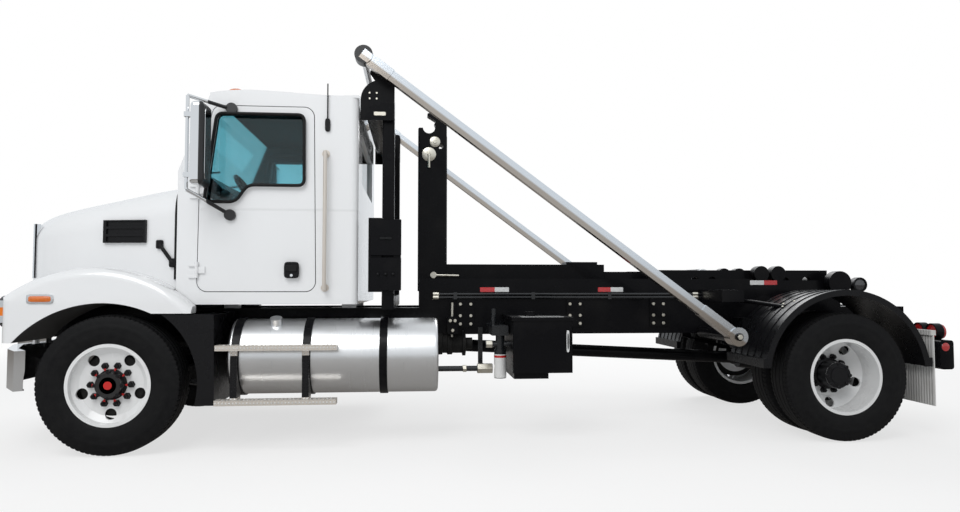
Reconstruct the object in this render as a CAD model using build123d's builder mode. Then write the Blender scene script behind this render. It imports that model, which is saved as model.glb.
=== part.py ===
import math
import os

from build123d import *

os.makedirs("parts", exist_ok=True)

# A conventional truck with a hook lift and a tarping gantry, in millimetres.
# X runs to the rear, -Y is the driver's side, Z is up, the ground is Z = 0.
SIDES = (-1, 1)

# Wheels and axles
WHEELBASE = 5610
FRONT_OVERHANG = 1030
REAR_OVERHANG = 1126
TYRE_D = 1020
TYRE_W = 280
RIM_R = 290
FRONT_TYRE_Y = 1060
REAR_TYRE_Y = 1080
TWIN_STEP = 335
KINGPIN_Y = 930
KINGPIN_R = 22
FRONT_SPINDLE_R = 46
REAR_SPINDLE_R = 38

LENGTH = FRONT_OVERHANG + WHEELBASE + REAR_OVERHANG
FA = FRONT_OVERHANG - LENGTH / 2
RA = FA + WHEELBASE
FRONT_X = -LENGTH / 2
REAR_X = LENGTH / 2
AXLE_Z = TYRE_D / 2
ARCH_R = TYRE_D / 2 + 115
TWIN_MID_Y = REAR_TYRE_Y - TWIN_STEP / 2

# Chassis rails
RAIL_OUT = 432
RAIL_FLANGE = 85
RAIL_T = 10
RAIL_H = 230
RAIL_Z0 = AXLE_Z + 305
RAIL_Z1 = RAIL_Z0 + RAIL_H
RAIL_X0 = FRONT_X + 130
RAIL_X1 = REAR_X - 260

# Cab
CAB_HALF_W = 1050
CAB_WALL = 60
CAB_CORNER_R = 55
CAB_X0 = FA + 420
CAB_L = 1345
CAB_X1 = CAB_X0 + CAB_L
CAB_Z0 = RAIL_Z1 + 45
CAB_H = 1775
CAB_Z1 = CAB_Z0 + CAB_H
FLOOR_Z = CAB_Z0 + 60
SCREEN_Z = CAB_Z0 + 1010
ROOF_Z = CAB_Z0 + 1600
SCREEN_RUN = 225
DOOR_GAP = 6
GLASS_T = 8
RUN_GAP = 0.3

# Hook lift
SUB_H = 250
SUB_W = 90
SUB_OUT = 430
SUB_X0 = CAB_X1 + 475
SUB_Z1 = RAIL_Z1 + SUB_H
TILT_X = RA + 390
TILT_Z = SUB_Z1 - 35
TILT_PIN_R = 35
TILT_OUT = 325
TILT_T = 50
TILT_REACH = 1000
BOOM_X = RA - 310
BOOM_Z = SUB_Z1 - 5
BOOM_PIN_R = 40
BOOM_HALF_W = 95
BOOM_H = 150
BOOM_BARE = 1350
BOOM_LAP = 480
SLEEVE_T = 24
SLIDE_GAP = 6
MAST_X0 = CAB_X1 + 463
MAST_L = 265
MAST_TOP = SUB_Z1 + 1310
CYL_Y = 205
CYL_PIN_R = 30
ROD_R = 36
CYL_BASE = (RA - 2260, RAIL_Z0 + 85)
CYL_EYE = (RA - 760, SUB_Z1 + 35)

# Tarp gantry
ARM_Y = 1100
ARM_W = 84
ARM_DEPTH = 64
ARM_PIN_R = 30
ARM_PIVOT = (RA - 857, AXLE_Z + 318)
ARM_TIP = (CAB_X1 + 41, CAB_Z1 + 140)
ARM_BOX_X = ARM_PIVOT[0] - 19


def block(xs, ys, zs, mode=Mode.ADD):
    """A square block between pairs of X, Y and Z limits."""
    sizes = [abs(b - a) for a, b in (xs, ys, zs)]
    with Locations([(sum(xs) / 2, sum(ys) / 2, sum(zs) / 2)]):
        Box(*sizes, mode=mode)


def bar(start, end, radius, mode=Mode.ADD):
    """A round bar from one point to another."""
    a, b = Vector(*start), Vector(*end)
    with Locations(Plane(origin=(a + b) / 2, z_dir=b - a).location):
        Cylinder(radius, (b - a).length, mode=mode)


# Chassis frame: two channel rails and the members across them
with BuildPart() as frame:
    for side in SIDES:
        web = (side * RAIL_OUT, side * (RAIL_OUT - RAIL_T))
        flange = (side * RAIL_OUT, side * (RAIL_OUT - RAIL_FLANGE))
        block((RAIL_X0, RAIL_X1), web, (RAIL_Z0, RAIL_Z1))
        block((RAIL_X0, RAIL_X1), flange, (RAIL_Z0, RAIL_Z0 + RAIL_T))
        block((RAIL_X0, RAIL_X1), flange, (RAIL_Z1 - RAIL_T, RAIL_Z1))
    for member_x in (RAIL_X0 + 70, FA + 1500, CYL_BASE[0] - 650, RA - 1100, RA - 250, RAIL_X1 - 60):
        block((member_x - 60, member_x + 60), (-RAIL_OUT + RAIL_T, RAIL_OUT - RAIL_T),
              (RAIL_Z0 + 30, RAIL_Z1 - RAIL_T))
frame.part.label = "frame"
export_step(frame.part, "parts/frame.step")

# Front bumper: a pressed channel, swept back to its open ends, on brackets that carry the hood's pins
BUMPER_Z0 = AXLE_Z - 42
BUMPER_H = 290
BUMPER_T = 70
BUMPER_SKIN = 10
BUMPER_BEND_R = 140
BUMPER_HALF = (
    # distance behind the front, half width: from the end to the middle
    (350, 1110),
    (185, 890),
    (0, 470),
)
HOOD_PIN = (RAIL_X0, RAIL_Z0 - 25)
HOOD_PIN_R = 15


def bumper_half(side, inset):
    """Bends of one half of the bumper's channel, moved in from its skin."""
    return [(FRONT_X + BUMPER_T / 2 + inset + x, side * (y - inset)) for x, y in BUMPER_HALF]


with BuildPart() as front_bumper:
    with BuildSketch(Plane.XY.offset(BUMPER_Z0)):
        with BuildLine():
            FilletPolyline(*bumper_half(-1, 0), *reversed(bumper_half(1, 0)), radius=BUMPER_BEND_R)
        trace(line_width=BUMPER_T)
    extrude(amount=BUMPER_H)
    for side in SIDES:
        with BuildSketch(Plane.XY.offset(BUMPER_Z0 + BUMPER_SKIN)):
            with BuildLine():
                FilletPolyline(*bumper_half(side, BUMPER_SKIN), (FRONT_X + BUMPER_T / 2 + BUMPER_SKIN, 0),
                               radius=BUMPER_BEND_R)
            trace(line_width=BUMPER_T)
        extrude(amount=BUMPER_H - 2 * BUMPER_SKIN, mode=Mode.SUBTRACT)
    bar((FA, -CAB_HALF_W - 250, AXLE_Z), (FA, CAB_HALF_W + 250, AXLE_Z), ARCH_R, Mode.SUBTRACT)
    for side in SIDES:
        block((FRONT_X + BUMPER_SKIN - 2, RAIL_X0 + 100), (side * (RAIL_OUT - RAIL_FLANGE), side * RAIL_OUT),
              (RAIL_Z0 - 175, RAIL_Z0))
        bar((HOOD_PIN[0], side * (RAIL_OUT - 20), HOOD_PIN[1]), (HOOD_PIN[0], side * (RAIL_OUT + 45), HOOD_PIN[1]),
            HOOD_PIN_R)
front_bumper.part.label = "front_bumper"
export_step(front_bumper.part, "parts/front_bumper.step")

# Engine and gearbox, as plain blocks between the rails
GEARBOX_END = FA + 1350
with BuildPart() as engine:
    block((FA - 760, FA + 400), (-320, 320), (RAIL_Z0 - 60, RAIL_Z0 + 780))
    block((FA + 400, GEARBOX_END), (-260, 260), (RAIL_Z0 - 190, RAIL_Z1 - 10))
engine.part.label = "engine"
export_step(engine.part, "parts/engine.step")

# Springs: four packs of leaves, each bowed between two hangers on the rail
SPRING_Y = 440
SPRING_W = 80
LEAF_T = 16
LEAVES = (1.0, 0.84, 0.64, 0.44)
SPRINGS = (
    # axle X, half length, eye height, seat height
    (FA, 640, RAIL_Z0 - 75, AXLE_Z + 60),
    (RA, 700, RAIL_Z0 - 75, AXLE_Z + 75),
)
with BuildPart() as springs:
    for axle_x, half_l, eye_z, seat_z in SPRINGS:
        for layer, share in enumerate(reversed(LEAVES)):
            low = seat_z + layer * LEAF_T
            high = low + LEAF_T + 1
            rise = (eye_z - seat_z - len(LEAVES) * LEAF_T) * share ** 2
            reach = half_l * share
            with BuildSketch(Plane.XZ.offset(-SPRING_Y - SPRING_W / 2)):
                with BuildLine():
                    ThreePointArc((axle_x - reach, low + rise), (axle_x, low), (axle_x + reach, low + rise))
                    Line((axle_x + reach, low + rise), (axle_x + reach, high + rise))
                    ThreePointArc((axle_x + reach, high + rise), (axle_x, high), (axle_x - reach, high + rise))
                    Line((axle_x - reach, high + rise), (axle_x - reach, low + rise))
                make_face()
            extrude(amount=SPRING_W)
        block((axle_x - 70, axle_x + 70), (SPRING_Y - SPRING_W / 2 - 12, SPRING_Y + SPRING_W / 2 + 12),
              (seat_z + LEAF_T, seat_z + len(LEAVES) * LEAF_T + 25))
        for end in SIDES:
            hanger_x = axle_x + end * (half_l - 30)
            block((hanger_x - 45, hanger_x + 45), (SPRING_Y - SPRING_W / 2, RAIL_OUT),
                  (eye_z - LEAF_T, RAIL_Z0))
    mirror(about=Plane.XZ)
springs.part.label = "springs"
export_step(springs.part, "parts/springs.step")

# Front axle: an I beam with an upright boss at each kingpin
with BuildPart() as front_axle:
    block((FA - 45, FA + 45), (-KINGPIN_Y + 30, KINGPIN_Y - 30), (AXLE_Z - 50, AXLE_Z + 60))
    for side in SIDES:
        block((FA + side * 14, FA + side * 45), (-KINGPIN_Y + 100, KINGPIN_Y - 100), (AXLE_Z - 30, AXLE_Z + 40),
              Mode.SUBTRACT)
    for side in SIDES:
        bar((FA, side * KINGPIN_Y, AXLE_Z - 70), (FA, side * KINGPIN_Y, AXLE_Z + 70), 42)
        bar((FA, side * KINGPIN_Y, AXLE_Z - 70), (FA, side * KINGPIN_Y, AXLE_Z + 70), KINGPIN_R + RUN_GAP,
            Mode.SUBTRACT)
front_axle.part.label = "front_axle"
export_step(front_axle.part, "parts/front_axle.step")

# Rear axle: banjo housing, tubes, spindles and the propeller shaft up to the gearbox
HUB_BACK_Y = TWIN_MID_Y - 14
with BuildPart() as rear_axle:
    bar((RA, -HUB_BACK_Y + 12, AXLE_Z), (RA, HUB_BACK_Y - 12, AXLE_Z), 75)
    bar((RA, -HUB_BACK_Y - 70, AXLE_Z), (RA, HUB_BACK_Y + 70, AXLE_Z), REAR_SPINDLE_R)
    with Locations((RA, 0, AXLE_Z)):
        Sphere(200)
    bar((RA - 330, 0, AXLE_Z + 40), (RA, 0, AXLE_Z), 90)
    bar((GEARBOX_END - 20, 0, RAIL_Z0 - 60), (RA - 320, 0, AXLE_Z + 40), 55)
    block((GEARBOX_END - 50, GEARBOX_END), (-100, 100), (RAIL_Z0 - 190, RAIL_Z0 + 60), Mode.SUBTRACT)
rear_axle.part.label = "rear_axle"
export_step(rear_axle.part, "parts/rear_axle.step")

# Steering knuckles: a fork over the axle boss, its kingpin and the wheel spindle
KNUCKLE_BACK = KINGPIN_Y + 55
with BuildPart() as knuckle_left:
    block((FA - 70, FA + 70), (-KNUCKLE_BACK - 20, -KNUCKLE_BACK), (AXLE_Z - 120, AXLE_Z + 120))
    for lug_z in (AXLE_Z - 120, AXLE_Z + 80):
        block((FA - 40, FA + 40), (-KNUCKLE_BACK, -KINGPIN_Y + 40), (lug_z, lug_z + 40))
    bar((FA, -KINGPIN_Y, AXLE_Z - 120), (FA, -KINGPIN_Y, AXLE_Z + 120), KINGPIN_R)
    bar((FA, -KNUCKLE_BACK - 20, AXLE_Z), (FA, -KNUCKLE_BACK - 110, AXLE_Z), FRONT_SPINDLE_R)
knuckle_left.part.label = "knuckle_left"
export_step(knuckle_left.part, "parts/knuckle_left.step")

with BuildPart() as knuckle_right:
    mirror(knuckle_left.part, about=Plane.XZ)
knuckle_right.part.label = "knuckle_right"
export_step(knuckle_right.part, "parts/knuckle_right.step")

# Tyre section, from the bead out to the tread, as (radius, half width)
TYRE_R = TYRE_D / 2
BEAD = (RIM_R, TYRE_W / 2 - 30)
BULGE = (RIM_R + 105, TYRE_W / 2)
SHOULDER = (TYRE_R - 15, TYRE_W / 2 - 15)
TREAD = (TYRE_R, TYRE_W / 2 - 40)
TYRE_HALF = (BEAD, BULGE, SHOULDER, TREAD)
TYRE_LOOP = TYRE_HALF + tuple((r, -w) for r, w in reversed(TYRE_HALF))
LIP = BEAD[1] + 3


def wheel_plane(axle_x, y):
    """The half plane of a wheel section: local x is the radius, local y runs outward."""
    return Plane(origin=(axle_x, y, AXLE_Z), x_dir=(1, 0, 0), z_dir=(0, 0, math.copysign(1, y)))


# Front wheels: tyre, then a disc wheel with its hub and brake drum
with BuildPart() as tyre_front_left:
    with BuildSketch(wheel_plane(FA, -FRONT_TYRE_Y)):
        with BuildLine():
            Polyline(*TYRE_LOOP, close=True)
        make_face()
    revolve(axis=Axis((FA, 0, AXLE_Z), (0, 1, 0)))
tyre_front_left.part.label = "tyre_front_left"
export_step(tyre_front_left.part, "parts/tyre_front_left.step")

with BuildPart() as tyre_front_right:
    mirror(tyre_front_left.part, about=Plane.XZ)
tyre_front_right.part.label = "tyre_front_right"
export_step(tyre_front_right.part, "parts/tyre_front_right.step")

HAND_HOLES = 5
HAND_HOLE_R = 41
HAND_HOLE_PITCH_R = 214
FRONT_DISH = ((228, 40), (RIM_R - 12, 60), (RIM_R - 12, 78), (228, 54))
FRONT_RINGS = (
    # inner radius, outer radius, inner face, outer face
    (RIM_R - 14, RIM_R, -LIP, LIP),
    (RIM_R - 14, RIM_R + 10, LIP, LIP + 8),
    (0, RIM_R - 14, 40, 54),
    (0, 92, 54, 120),
    (FRONT_SPINDLE_R + RUN_GAP, 175, -45, 40),
)
with BuildPart() as rim_front_left:
    with BuildSketch(wheel_plane(FA, -FRONT_TYRE_Y)):
        for r0, r1, w0, w1 in FRONT_RINGS:
            with Locations(((r0 + r1) / 2, (w0 + w1) / 2)):
                Rectangle(r1 - r0, w1 - w0)
        with BuildLine():
            Polyline(*FRONT_DISH, close=True)
        make_face()
    revolve(axis=Axis((FA, 0, AXLE_Z), (0, 1, 0)))
    with Locations(Plane(origin=(FA, -FRONT_TYRE_Y - 47, AXLE_Z), z_dir=(0, -1, 0)).location):
        with PolarLocations(HAND_HOLE_PITCH_R, HAND_HOLES):
            Cylinder(HAND_HOLE_R, 80, mode=Mode.SUBTRACT)
rim_front_left.part.label = "rim_front_left"
export_step(rim_front_left.part, "parts/rim_front_left.step")

with BuildPart() as rim_front_right:
    mirror(rim_front_left.part, about=Plane.XZ)
rim_front_right.part.label = "rim_front_right"
export_step(rim_front_right.part, "parts/rim_front_right.step")

# Rear twin wheels: two tyres, and two dished discs bolted back to back on one hub
with BuildPart() as tyres_rear_left:
    for y in (-REAR_TYRE_Y, -REAR_TYRE_Y + TWIN_STEP):
        with BuildSketch(wheel_plane(RA, y)):
            with BuildLine():
                Polyline(*TYRE_LOOP, close=True)
            make_face()
        revolve(axis=Axis((RA, 0, AXLE_Z), (0, 1, 0)))
tyres_rear_left.part.label = "tyres_rear_left"
export_step(tyres_rear_left.part, "parts/tyres_rear_left.step")

with BuildPart() as tyres_rear_right:
    mirror(tyres_rear_left.part, about=Plane.XZ)
tyres_rear_right.part.label = "tyres_rear_right"
export_step(tyres_rear_right.part, "parts/tyres_rear_right.step")

RIM_MID = TWIN_STEP / 2
REAR_RINGS = (
    # inner radius, outer radius, inner face, outer face
    (RIM_R - 14, RIM_R, RIM_MID - LIP, RIM_MID + LIP),
    (RIM_R - 14, RIM_R + 10, RIM_MID + LIP, RIM_MID + LIP + 8),
    (RIM_R - 14, RIM_R, -RIM_MID - LIP, -RIM_MID + LIP),
    (RIM_R - 14, RIM_R + 10, -RIM_MID - LIP - 8, -RIM_MID - LIP),
    (REAR_SPINDLE_R + RUN_GAP, 200, -14, 14),
    (REAR_SPINDLE_R + RUN_GAP, 105, 14, 90),
    (0, 105, 90, 175),
    (110, 185, -160, -14),
)
DISH = ((180, 0), (RIM_R - 12, RIM_MID - LIP), (RIM_R - 12, RIM_MID - LIP + 18), (180, 14))
with BuildPart() as rims_rear_left:
    with BuildSketch(wheel_plane(RA, -TWIN_MID_Y)):
        for r0, r1, w0, w1 in REAR_RINGS:
            with Locations(((r0 + r1) / 2, (w0 + w1) / 2)):
                Rectangle(r1 - r0, w1 - w0)
        for out in SIDES:
            with BuildLine():
                Polyline(*((r, out * w) for r, w in DISH), close=True)
            make_face()
    revolve(axis=Axis((RA, 0, AXLE_Z), (0, 1, 0)))
    with Locations(Plane(origin=(RA, -TWIN_MID_Y, AXLE_Z), z_dir=(0, -1, 0)).location):
        with PolarLocations(HAND_HOLE_PITCH_R + 18, HAND_HOLES):
            Cylinder(HAND_HOLE_R - 3, 150, mode=Mode.SUBTRACT)
rims_rear_left.part.label = "rims_rear_left"
export_step(rims_rear_left.part, "parts/rims_rear_left.step")

with BuildPart() as rims_rear_right:
    mirror(rims_rear_left.part, about=Plane.XZ)
rims_rear_right.part.label = "rims_rear_right"
export_step(rims_rear_right.part, "parts/rims_rear_right.step")

# Hood: a lofted shell with both fenders, tipping forward about a hinge above the bumper
HOOD_Z0 = CAB_Z0 - 170
HOOD_X0 = FA - 970
HOOD_X1 = CAB_X0 - 12
HOOD_SKIN = 30
HOOD_SECTIONS = (
    # X, half width, top height, corner radius
    (HOOD_X0, CAB_HALF_W - 720, RAIL_Z1 + 690, 150),
    (FA - 850, CAB_HALF_W - 530, RAIL_Z1 + 722, 175),
    (FA - 640, CAB_HALF_W - 335, RAIL_Z1 + 768, 200),
    (FA - 321, CAB_HALF_W - 200, RAIL_Z1 + 828, 220),
    (FA + 40, CAB_HALF_W - 125, RAIL_Z1 + 898, 228),
    (HOOD_X1, CAB_HALF_W - 65, RAIL_Z1 + 958, 230),
)
FENDER_X0 = FA - ARCH_R - 129
FENDER_X1 = FA + 572
FENDER_CROWN_R = 70
FENDER_IN = CAB_HALF_W - 440
FENDER_OUT = CAB_HALF_W + 140
FENDER_TOP = CAB_Z0 + 270
FENDER_LOW = CAB_Z0 - 62
OPENING_R = ARCH_R + 185
OPENING_Z = CAB_Z0 + 15 - OPENING_R
GRILLE_HALF_W = CAB_HALF_W - 550
GRILLE_Z = (RAIL_Z1 + 250, RAIL_Z1 + 690)
GRILLE_EDGE = 45
with BuildPart() as hood:
    for inset, mode in ((0, Mode.ADD), (HOOD_SKIN, Mode.SUBTRACT)):
        for x, half_w, top, corner in HOOD_SECTIONS:
            station = x + inset * (x == HOOD_X0)
            height = top - HOOD_Z0 - inset
            with BuildSketch(Plane(origin=(station, 0, HOOD_Z0), x_dir=(0, 1, 0), z_dir=(1, 0, 0))):
                with Locations((0, height / 2)):
                    Rectangle(2 * (half_w - inset), height)
                fillet(vertices().sort_by(Axis.Y)[-2:], corner - inset)
        loft(mode=mode)
    with BuildSketch(Plane.XZ.offset(-FENDER_OUT)):
        with BuildLine():
            Polyline((FENDER_X1, CAB_Z0 - 10), (FENDER_X1, FENDER_LOW), (FA, FENDER_LOW), (FA, CAB_Z0 - 270),
                     (FENDER_X0, CAB_Z0 - 270), (FENDER_X0, CAB_Z0 + 60))
            ThreePointArc((FENDER_X0, CAB_Z0 + 60), (FA - 60, FENDER_TOP), (FENDER_X1, CAB_Z0 - 10))
        make_face()
    extrude(amount=FENDER_OUT - FENDER_IN)
    outer = edges().filter_by_position(Axis.Y, FENDER_OUT - 1, FENDER_OUT + 1)
    front = outer.filter_by_position(Axis.X, FENDER_X0 - 1, FENDER_X0 + 1)
    fillet(outer.filter_by(GeomType.CIRCLE) + front, FENDER_CROWN_R)
    mirror(about=Plane.XZ)
    for side in SIDES:
        bar((FA - 50, side * (FENDER_IN - 10), OPENING_Z), (FA - 50, side * (FENDER_OUT + 100), OPENING_Z), OPENING_R,
            Mode.SUBTRACT)
    block((HOOD_X1, FA + 700), (-CAB_HALF_W - 12, CAB_HALF_W + 12), (0, CAB_Z1), Mode.SUBTRACT)
    block((FA, FA + 700), (-FENDER_OUT, FENDER_OUT), (0, FENDER_LOW), Mode.SUBTRACT)
    block((HOOD_X0 - 10, FA - 860), (-GRILLE_HALF_W + 90, GRILLE_HALF_W - 90),
          (GRILLE_Z[0] + GRILLE_EDGE, GRILLE_Z[1] - 2 * GRILLE_EDGE), Mode.SUBTRACT)
    block((HOOD_X0 - 10, FA - 700), (-RAIL_OUT - 14, RAIL_OUT + 14), (0, RAIL_Z1 + 20), Mode.SUBTRACT)
    for side in SIDES:
        lug_y = (side * (RAIL_OUT + 5), side * (RAIL_OUT + 38))
        block((FA - 890, HOOD_PIN[0] + 30), lug_y, (HOOD_PIN[1] - 30, HOOD_Z0 + 40))
        bar((HOOD_PIN[0], side * RAIL_OUT, HOOD_PIN[1]), (HOOD_PIN[0], side * (RAIL_OUT + 50), HOOD_PIN[1]),
            HOOD_PIN_R + RUN_GAP, Mode.SUBTRACT)
hood.part.label = "hood"
export_step(hood.part, "parts/hood.step")

# Hood vents: a louvred black panel let into each side
VENT_L = 340
VENT_H = 174
VENT_Z = RAIL_Z1 + 601
VENT_Y = CAB_HALF_W - 138
VENT_SLOPE = 0.19
VENT_SLATS = 3
with BuildPart() as hood_vents:
    for side in SIDES:
        inner = Plane(origin=(FA, side * VENT_Y, VENT_Z), x_dir=(1, side * VENT_SLOPE, 0), z_dir=(-VENT_SLOPE, side, 0))
        with Locations(inner.location):
            Box(VENT_L, VENT_H, 60)
    for side in SIDES:
        outer = Plane(origin=(FA, side * (VENT_Y + 30), VENT_Z), x_dir=(1, side * VENT_SLOPE, 0),
                      z_dir=(-VENT_SLOPE, side, 0))
        with Locations(outer.location):
            with GridLocations(1, VENT_H / VENT_SLATS, 1, VENT_SLATS):
                Box(VENT_L - 40, VENT_H / VENT_SLATS - 18, 24, mode=Mode.SUBTRACT)
    add(hood.part, mode=Mode.SUBTRACT)
hood_vents.part.label = "hood_vents"
export_step(hood_vents.part, "parts/hood_vents.step")

# Grille: a bright bowed surround with cross bars, on the nose of the hood
GRILLE_BARS = 5
with BuildPart() as grille:
    with BuildSketch(Plane.XY.offset(GRILLE_Z[0])):
        with BuildLine():
            ThreePointArc((FA - 858, -GRILLE_HALF_W), (HOOD_X0 - 25, 0), (FA - 858, GRILLE_HALF_W))
        trace(line_width=50)
    extrude(amount=GRILLE_Z[1] - GRILLE_Z[0])
    pitch = (GRILLE_Z[1] - GRILLE_Z[0] - 2 * GRILLE_EDGE) / GRILLE_BARS
    for slot in range(GRILLE_BARS):
        low = GRILLE_Z[0] + GRILLE_EDGE + slot * pitch
        block((HOOD_X0 - 100, FA - 800), (-GRILLE_HALF_W + GRILLE_EDGE, GRILLE_HALF_W - GRILLE_EDGE),
              (low + 10, low + pitch - 10), Mode.SUBTRACT)
    add(hood.part, mode=Mode.SUBTRACT)
grille.part.label = "grille"
export_step(grille.part, "parts/grille.step")

# Headlamps: a long rounded lens round the front corner of each fender
LAMP_Z = CAB_Z0 - 45
LAMP_HALF_H = 115
LAMP_DEPTH = 62
LAMP_OUT = FENDER_OUT - 42
LAMP_EDGE_R = 28
with BuildPart() as headlamps:
    with BuildSketch(Plane.XZ.offset(-LAMP_OUT)):
        with Locations((FENDER_X0 + 8, LAMP_Z)):
            Ellipse(LAMP_DEPTH, LAMP_HALF_H)
    extrude(amount=LAMP_OUT - FENDER_IN - 60)
    fillet(edges().filter_by_position(Axis.Y, LAMP_OUT - 1, LAMP_OUT + 1), LAMP_EDGE_R)
    mirror(about=Plane.XZ)
    add(hood.part, mode=Mode.SUBTRACT)
headlamps.part.label = "headlamps"
export_step(headlamps.part, "parts/headlamps.step")

# Splash panels behind the front wheels, each on a bracket off the rail
SPLASH_IN = 500
SPLASH_X1 = FA + ARCH_R + 122
with BuildPart() as splash_panels:
    with BuildSketch(Plane.XZ.offset(-FENDER_OUT + 10)):
        with BuildLine():
            Polyline((FA + 250, CAB_Z0 - 70), (FA + 250, AXLE_Z - 155), (SPLASH_X1, AXLE_Z - 155),
                     (SPLASH_X1 - 12, CAB_Z0 - 70), close=True)
        make_face()
    extrude(amount=FENDER_OUT - 10 - SPLASH_IN)
    block((SPLASH_X1 - 87, SPLASH_X1 - 17), (RAIL_OUT, SPLASH_IN), (RAIL_Z0 + 20, RAIL_Z1 - 50))
    mirror(about=Plane.XZ)
    bar((FA, -1300, AXLE_Z), (FA, 1300, AXLE_Z), ARCH_R, Mode.SUBTRACT)
splash_panels.part.label = "splash_panels"
export_step(splash_panels.part, "parts/splash_panels.step")

# Cab shell: floor, firewall, two sides, back and roof, each one a whole wall thick
SIDE_IN = CAB_HALF_W - CAB_WALL
with BuildPart() as cab_floor:
    block((CAB_X0 + 140, CAB_X1), (-SIDE_IN, SIDE_IN), (CAB_Z0, FLOOR_Z))
    block((CAB_X0, CAB_X0 + 140), (-SIDE_IN, SIDE_IN), (FLOOR_Z - 20, FLOOR_Z))
    for mount_x in (CAB_X0 + 250, CAB_X1 - 120):
        for side in SIDES:
            block((mount_x - 60, mount_x + 60), (side * (RAIL_OUT - 85), side * RAIL_OUT), (RAIL_Z1, CAB_Z0))
cab_floor.part.label = "cab_floor"
export_step(cab_floor.part, "parts/cab_floor.step")

with BuildPart() as cab_firewall:
    block((CAB_X0, CAB_X0 + CAB_WALL), (-SIDE_IN, SIDE_IN), (FLOOR_Z, SCREEN_Z))
cab_firewall.part.label = "cab_firewall"
export_step(cab_firewall.part, "parts/cab_firewall.step")

# Door and window outlines, as (distance behind the cab's front, height above its base)
DOOR_FRONT = 147
DOOR_REAR = CAB_L - 311
DOOR_LOW = 93
DOOR_TOP = 1520
DOOR_OUTLINE = ((DOOR_FRONT, DOOR_LOW), (DOOR_FRONT + 8, 990), (DOOR_FRONT + 103, DOOR_TOP),
                (DOOR_REAR - 24, DOOR_TOP), (DOOR_REAR, DOOR_LOW))
DOOR_CORNER_R = 80
SILL_STEP = 130
WINDOW_LOW = 775
WINDOW_TOP = 1450
WINDOW_OUTLINE = ((DOOR_FRONT + 53, WINDOW_LOW), (DOOR_FRONT + 138, WINDOW_TOP), (DOOR_REAR - 99, WINDOW_TOP),
                  (DOOR_REAR - 94, WINDOW_LOW + SILL_STEP), (DOOR_FRONT + 373, WINDOW_LOW + SILL_STEP),
                  (DOOR_FRONT + 283, WINDOW_LOW))
WINDOW_CORNER_R = 40


def cab_outline(pairs, radius):
    """A rounded outline in the cab's side view, measured from the cab's low front corner."""
    face = make_face(Polyline(*((CAB_X0 + x, CAB_Z0 + z) for x, z in pairs), close=True))
    return fillet(face.vertices(), radius)


DOORWAY = cab_outline(DOOR_OUTLINE, DOOR_CORNER_R)
WINDOW = cab_outline(WINDOW_OUTLINE, WINDOW_CORNER_R)
HINGE_X = CAB_X0 + DOOR_FRONT + 4
HINGE_Y = CAB_HALF_W + 14
HINGE_PIN_R = 8
HINGE_Z = (CAB_Z0 + 260, CAB_Z0 + 860)
with BuildPart() as cab_side_left:
    with BuildSketch(Plane.XZ.offset(SIDE_IN)):
        with BuildLine():
            Polyline((CAB_X0 + 140, CAB_Z0), (CAB_X0, FLOOR_Z + 50), (CAB_X0, SCREEN_Z), (CAB_X0 + SCREEN_RUN, ROOF_Z),
                     (CAB_X1, ROOF_Z), (CAB_X1, CAB_Z0), close=True)
        make_face()
        add(DOORWAY, mode=Mode.SUBTRACT)
    extrude(amount=CAB_WALL)
    corner = edges().filter_by(Axis.Z).filter_by_position(Axis.X, CAB_X1 - 1, CAB_X1 + 1).sort_by(Axis.Y)[0]
    fillet(corner, CAB_CORNER_R)
    for z in HINGE_Z:
        bar((HINGE_X, -HINGE_Y, z - 60), (HINGE_X, -HINGE_Y, z + 60), HINGE_PIN_R)
        for end in SIDES:
            ends = (z + end * 26, z + end * 60)
            bar((HINGE_X, -HINGE_Y, ends[0]), (HINGE_X, -HINGE_Y, ends[1]), 14)
            block((HINGE_X - 60, HINGE_X), (-HINGE_Y, -CAB_HALF_W), ends)
cab_side_left.part.label = "cab_side_left"
export_step(cab_side_left.part, "parts/cab_side_left.step")

with BuildPart() as cab_side_right:
    mirror(cab_side_left.part, about=Plane.XZ)
cab_side_right.part.label = "cab_side_right"
export_step(cab_side_right.part, "parts/cab_side_right.step")

REAR_WINDOW = (650, 400, CAB_Z0 + 1180)
with BuildPart() as cab_back:
    block((CAB_X1 - CAB_WALL, CAB_X1), (-SIDE_IN, SIDE_IN), (FLOOR_Z, ROOF_Z))
    block((CAB_X1 - CAB_WALL, CAB_X1), (-REAR_WINDOW[0], REAR_WINDOW[0]),
          (REAR_WINDOW[2] - REAR_WINDOW[1] / 2, REAR_WINDOW[2] + REAR_WINDOW[1] / 2), Mode.SUBTRACT)
cab_back.part.label = "cab_back"
export_step(cab_back.part, "parts/cab_back.step")

ROOF_SECTIONS = (
    # X, height of the edge and of the crown above the walls
    (CAB_X0 + SCREEN_RUN, 14, 60),
    (CAB_X0 + SCREEN_RUN + 110, 32, 130),
    ((CAB_X0 + CAB_X1) / 2 + 60, 36, CAB_Z1 - ROOF_Z),
    (CAB_X1, 24, 125),
)
with BuildPart() as cab_roof:
    for x, edge, crown in ROOF_SECTIONS:
        with BuildSketch(Plane(origin=(x, 0, ROOF_Z), x_dir=(0, 1, 0), z_dir=(1, 0, 0))):
            with BuildLine():
                Polyline((-CAB_HALF_W, edge), (-CAB_HALF_W, 0), (CAB_HALF_W, 0), (CAB_HALF_W, edge))
                ThreePointArc((CAB_HALF_W, edge), (0, crown), (-CAB_HALF_W, edge))
            make_face()
    loft()
cab_roof.part.label = "cab_roof"
export_step(cab_roof.part, "parts/cab_roof.step")

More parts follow.
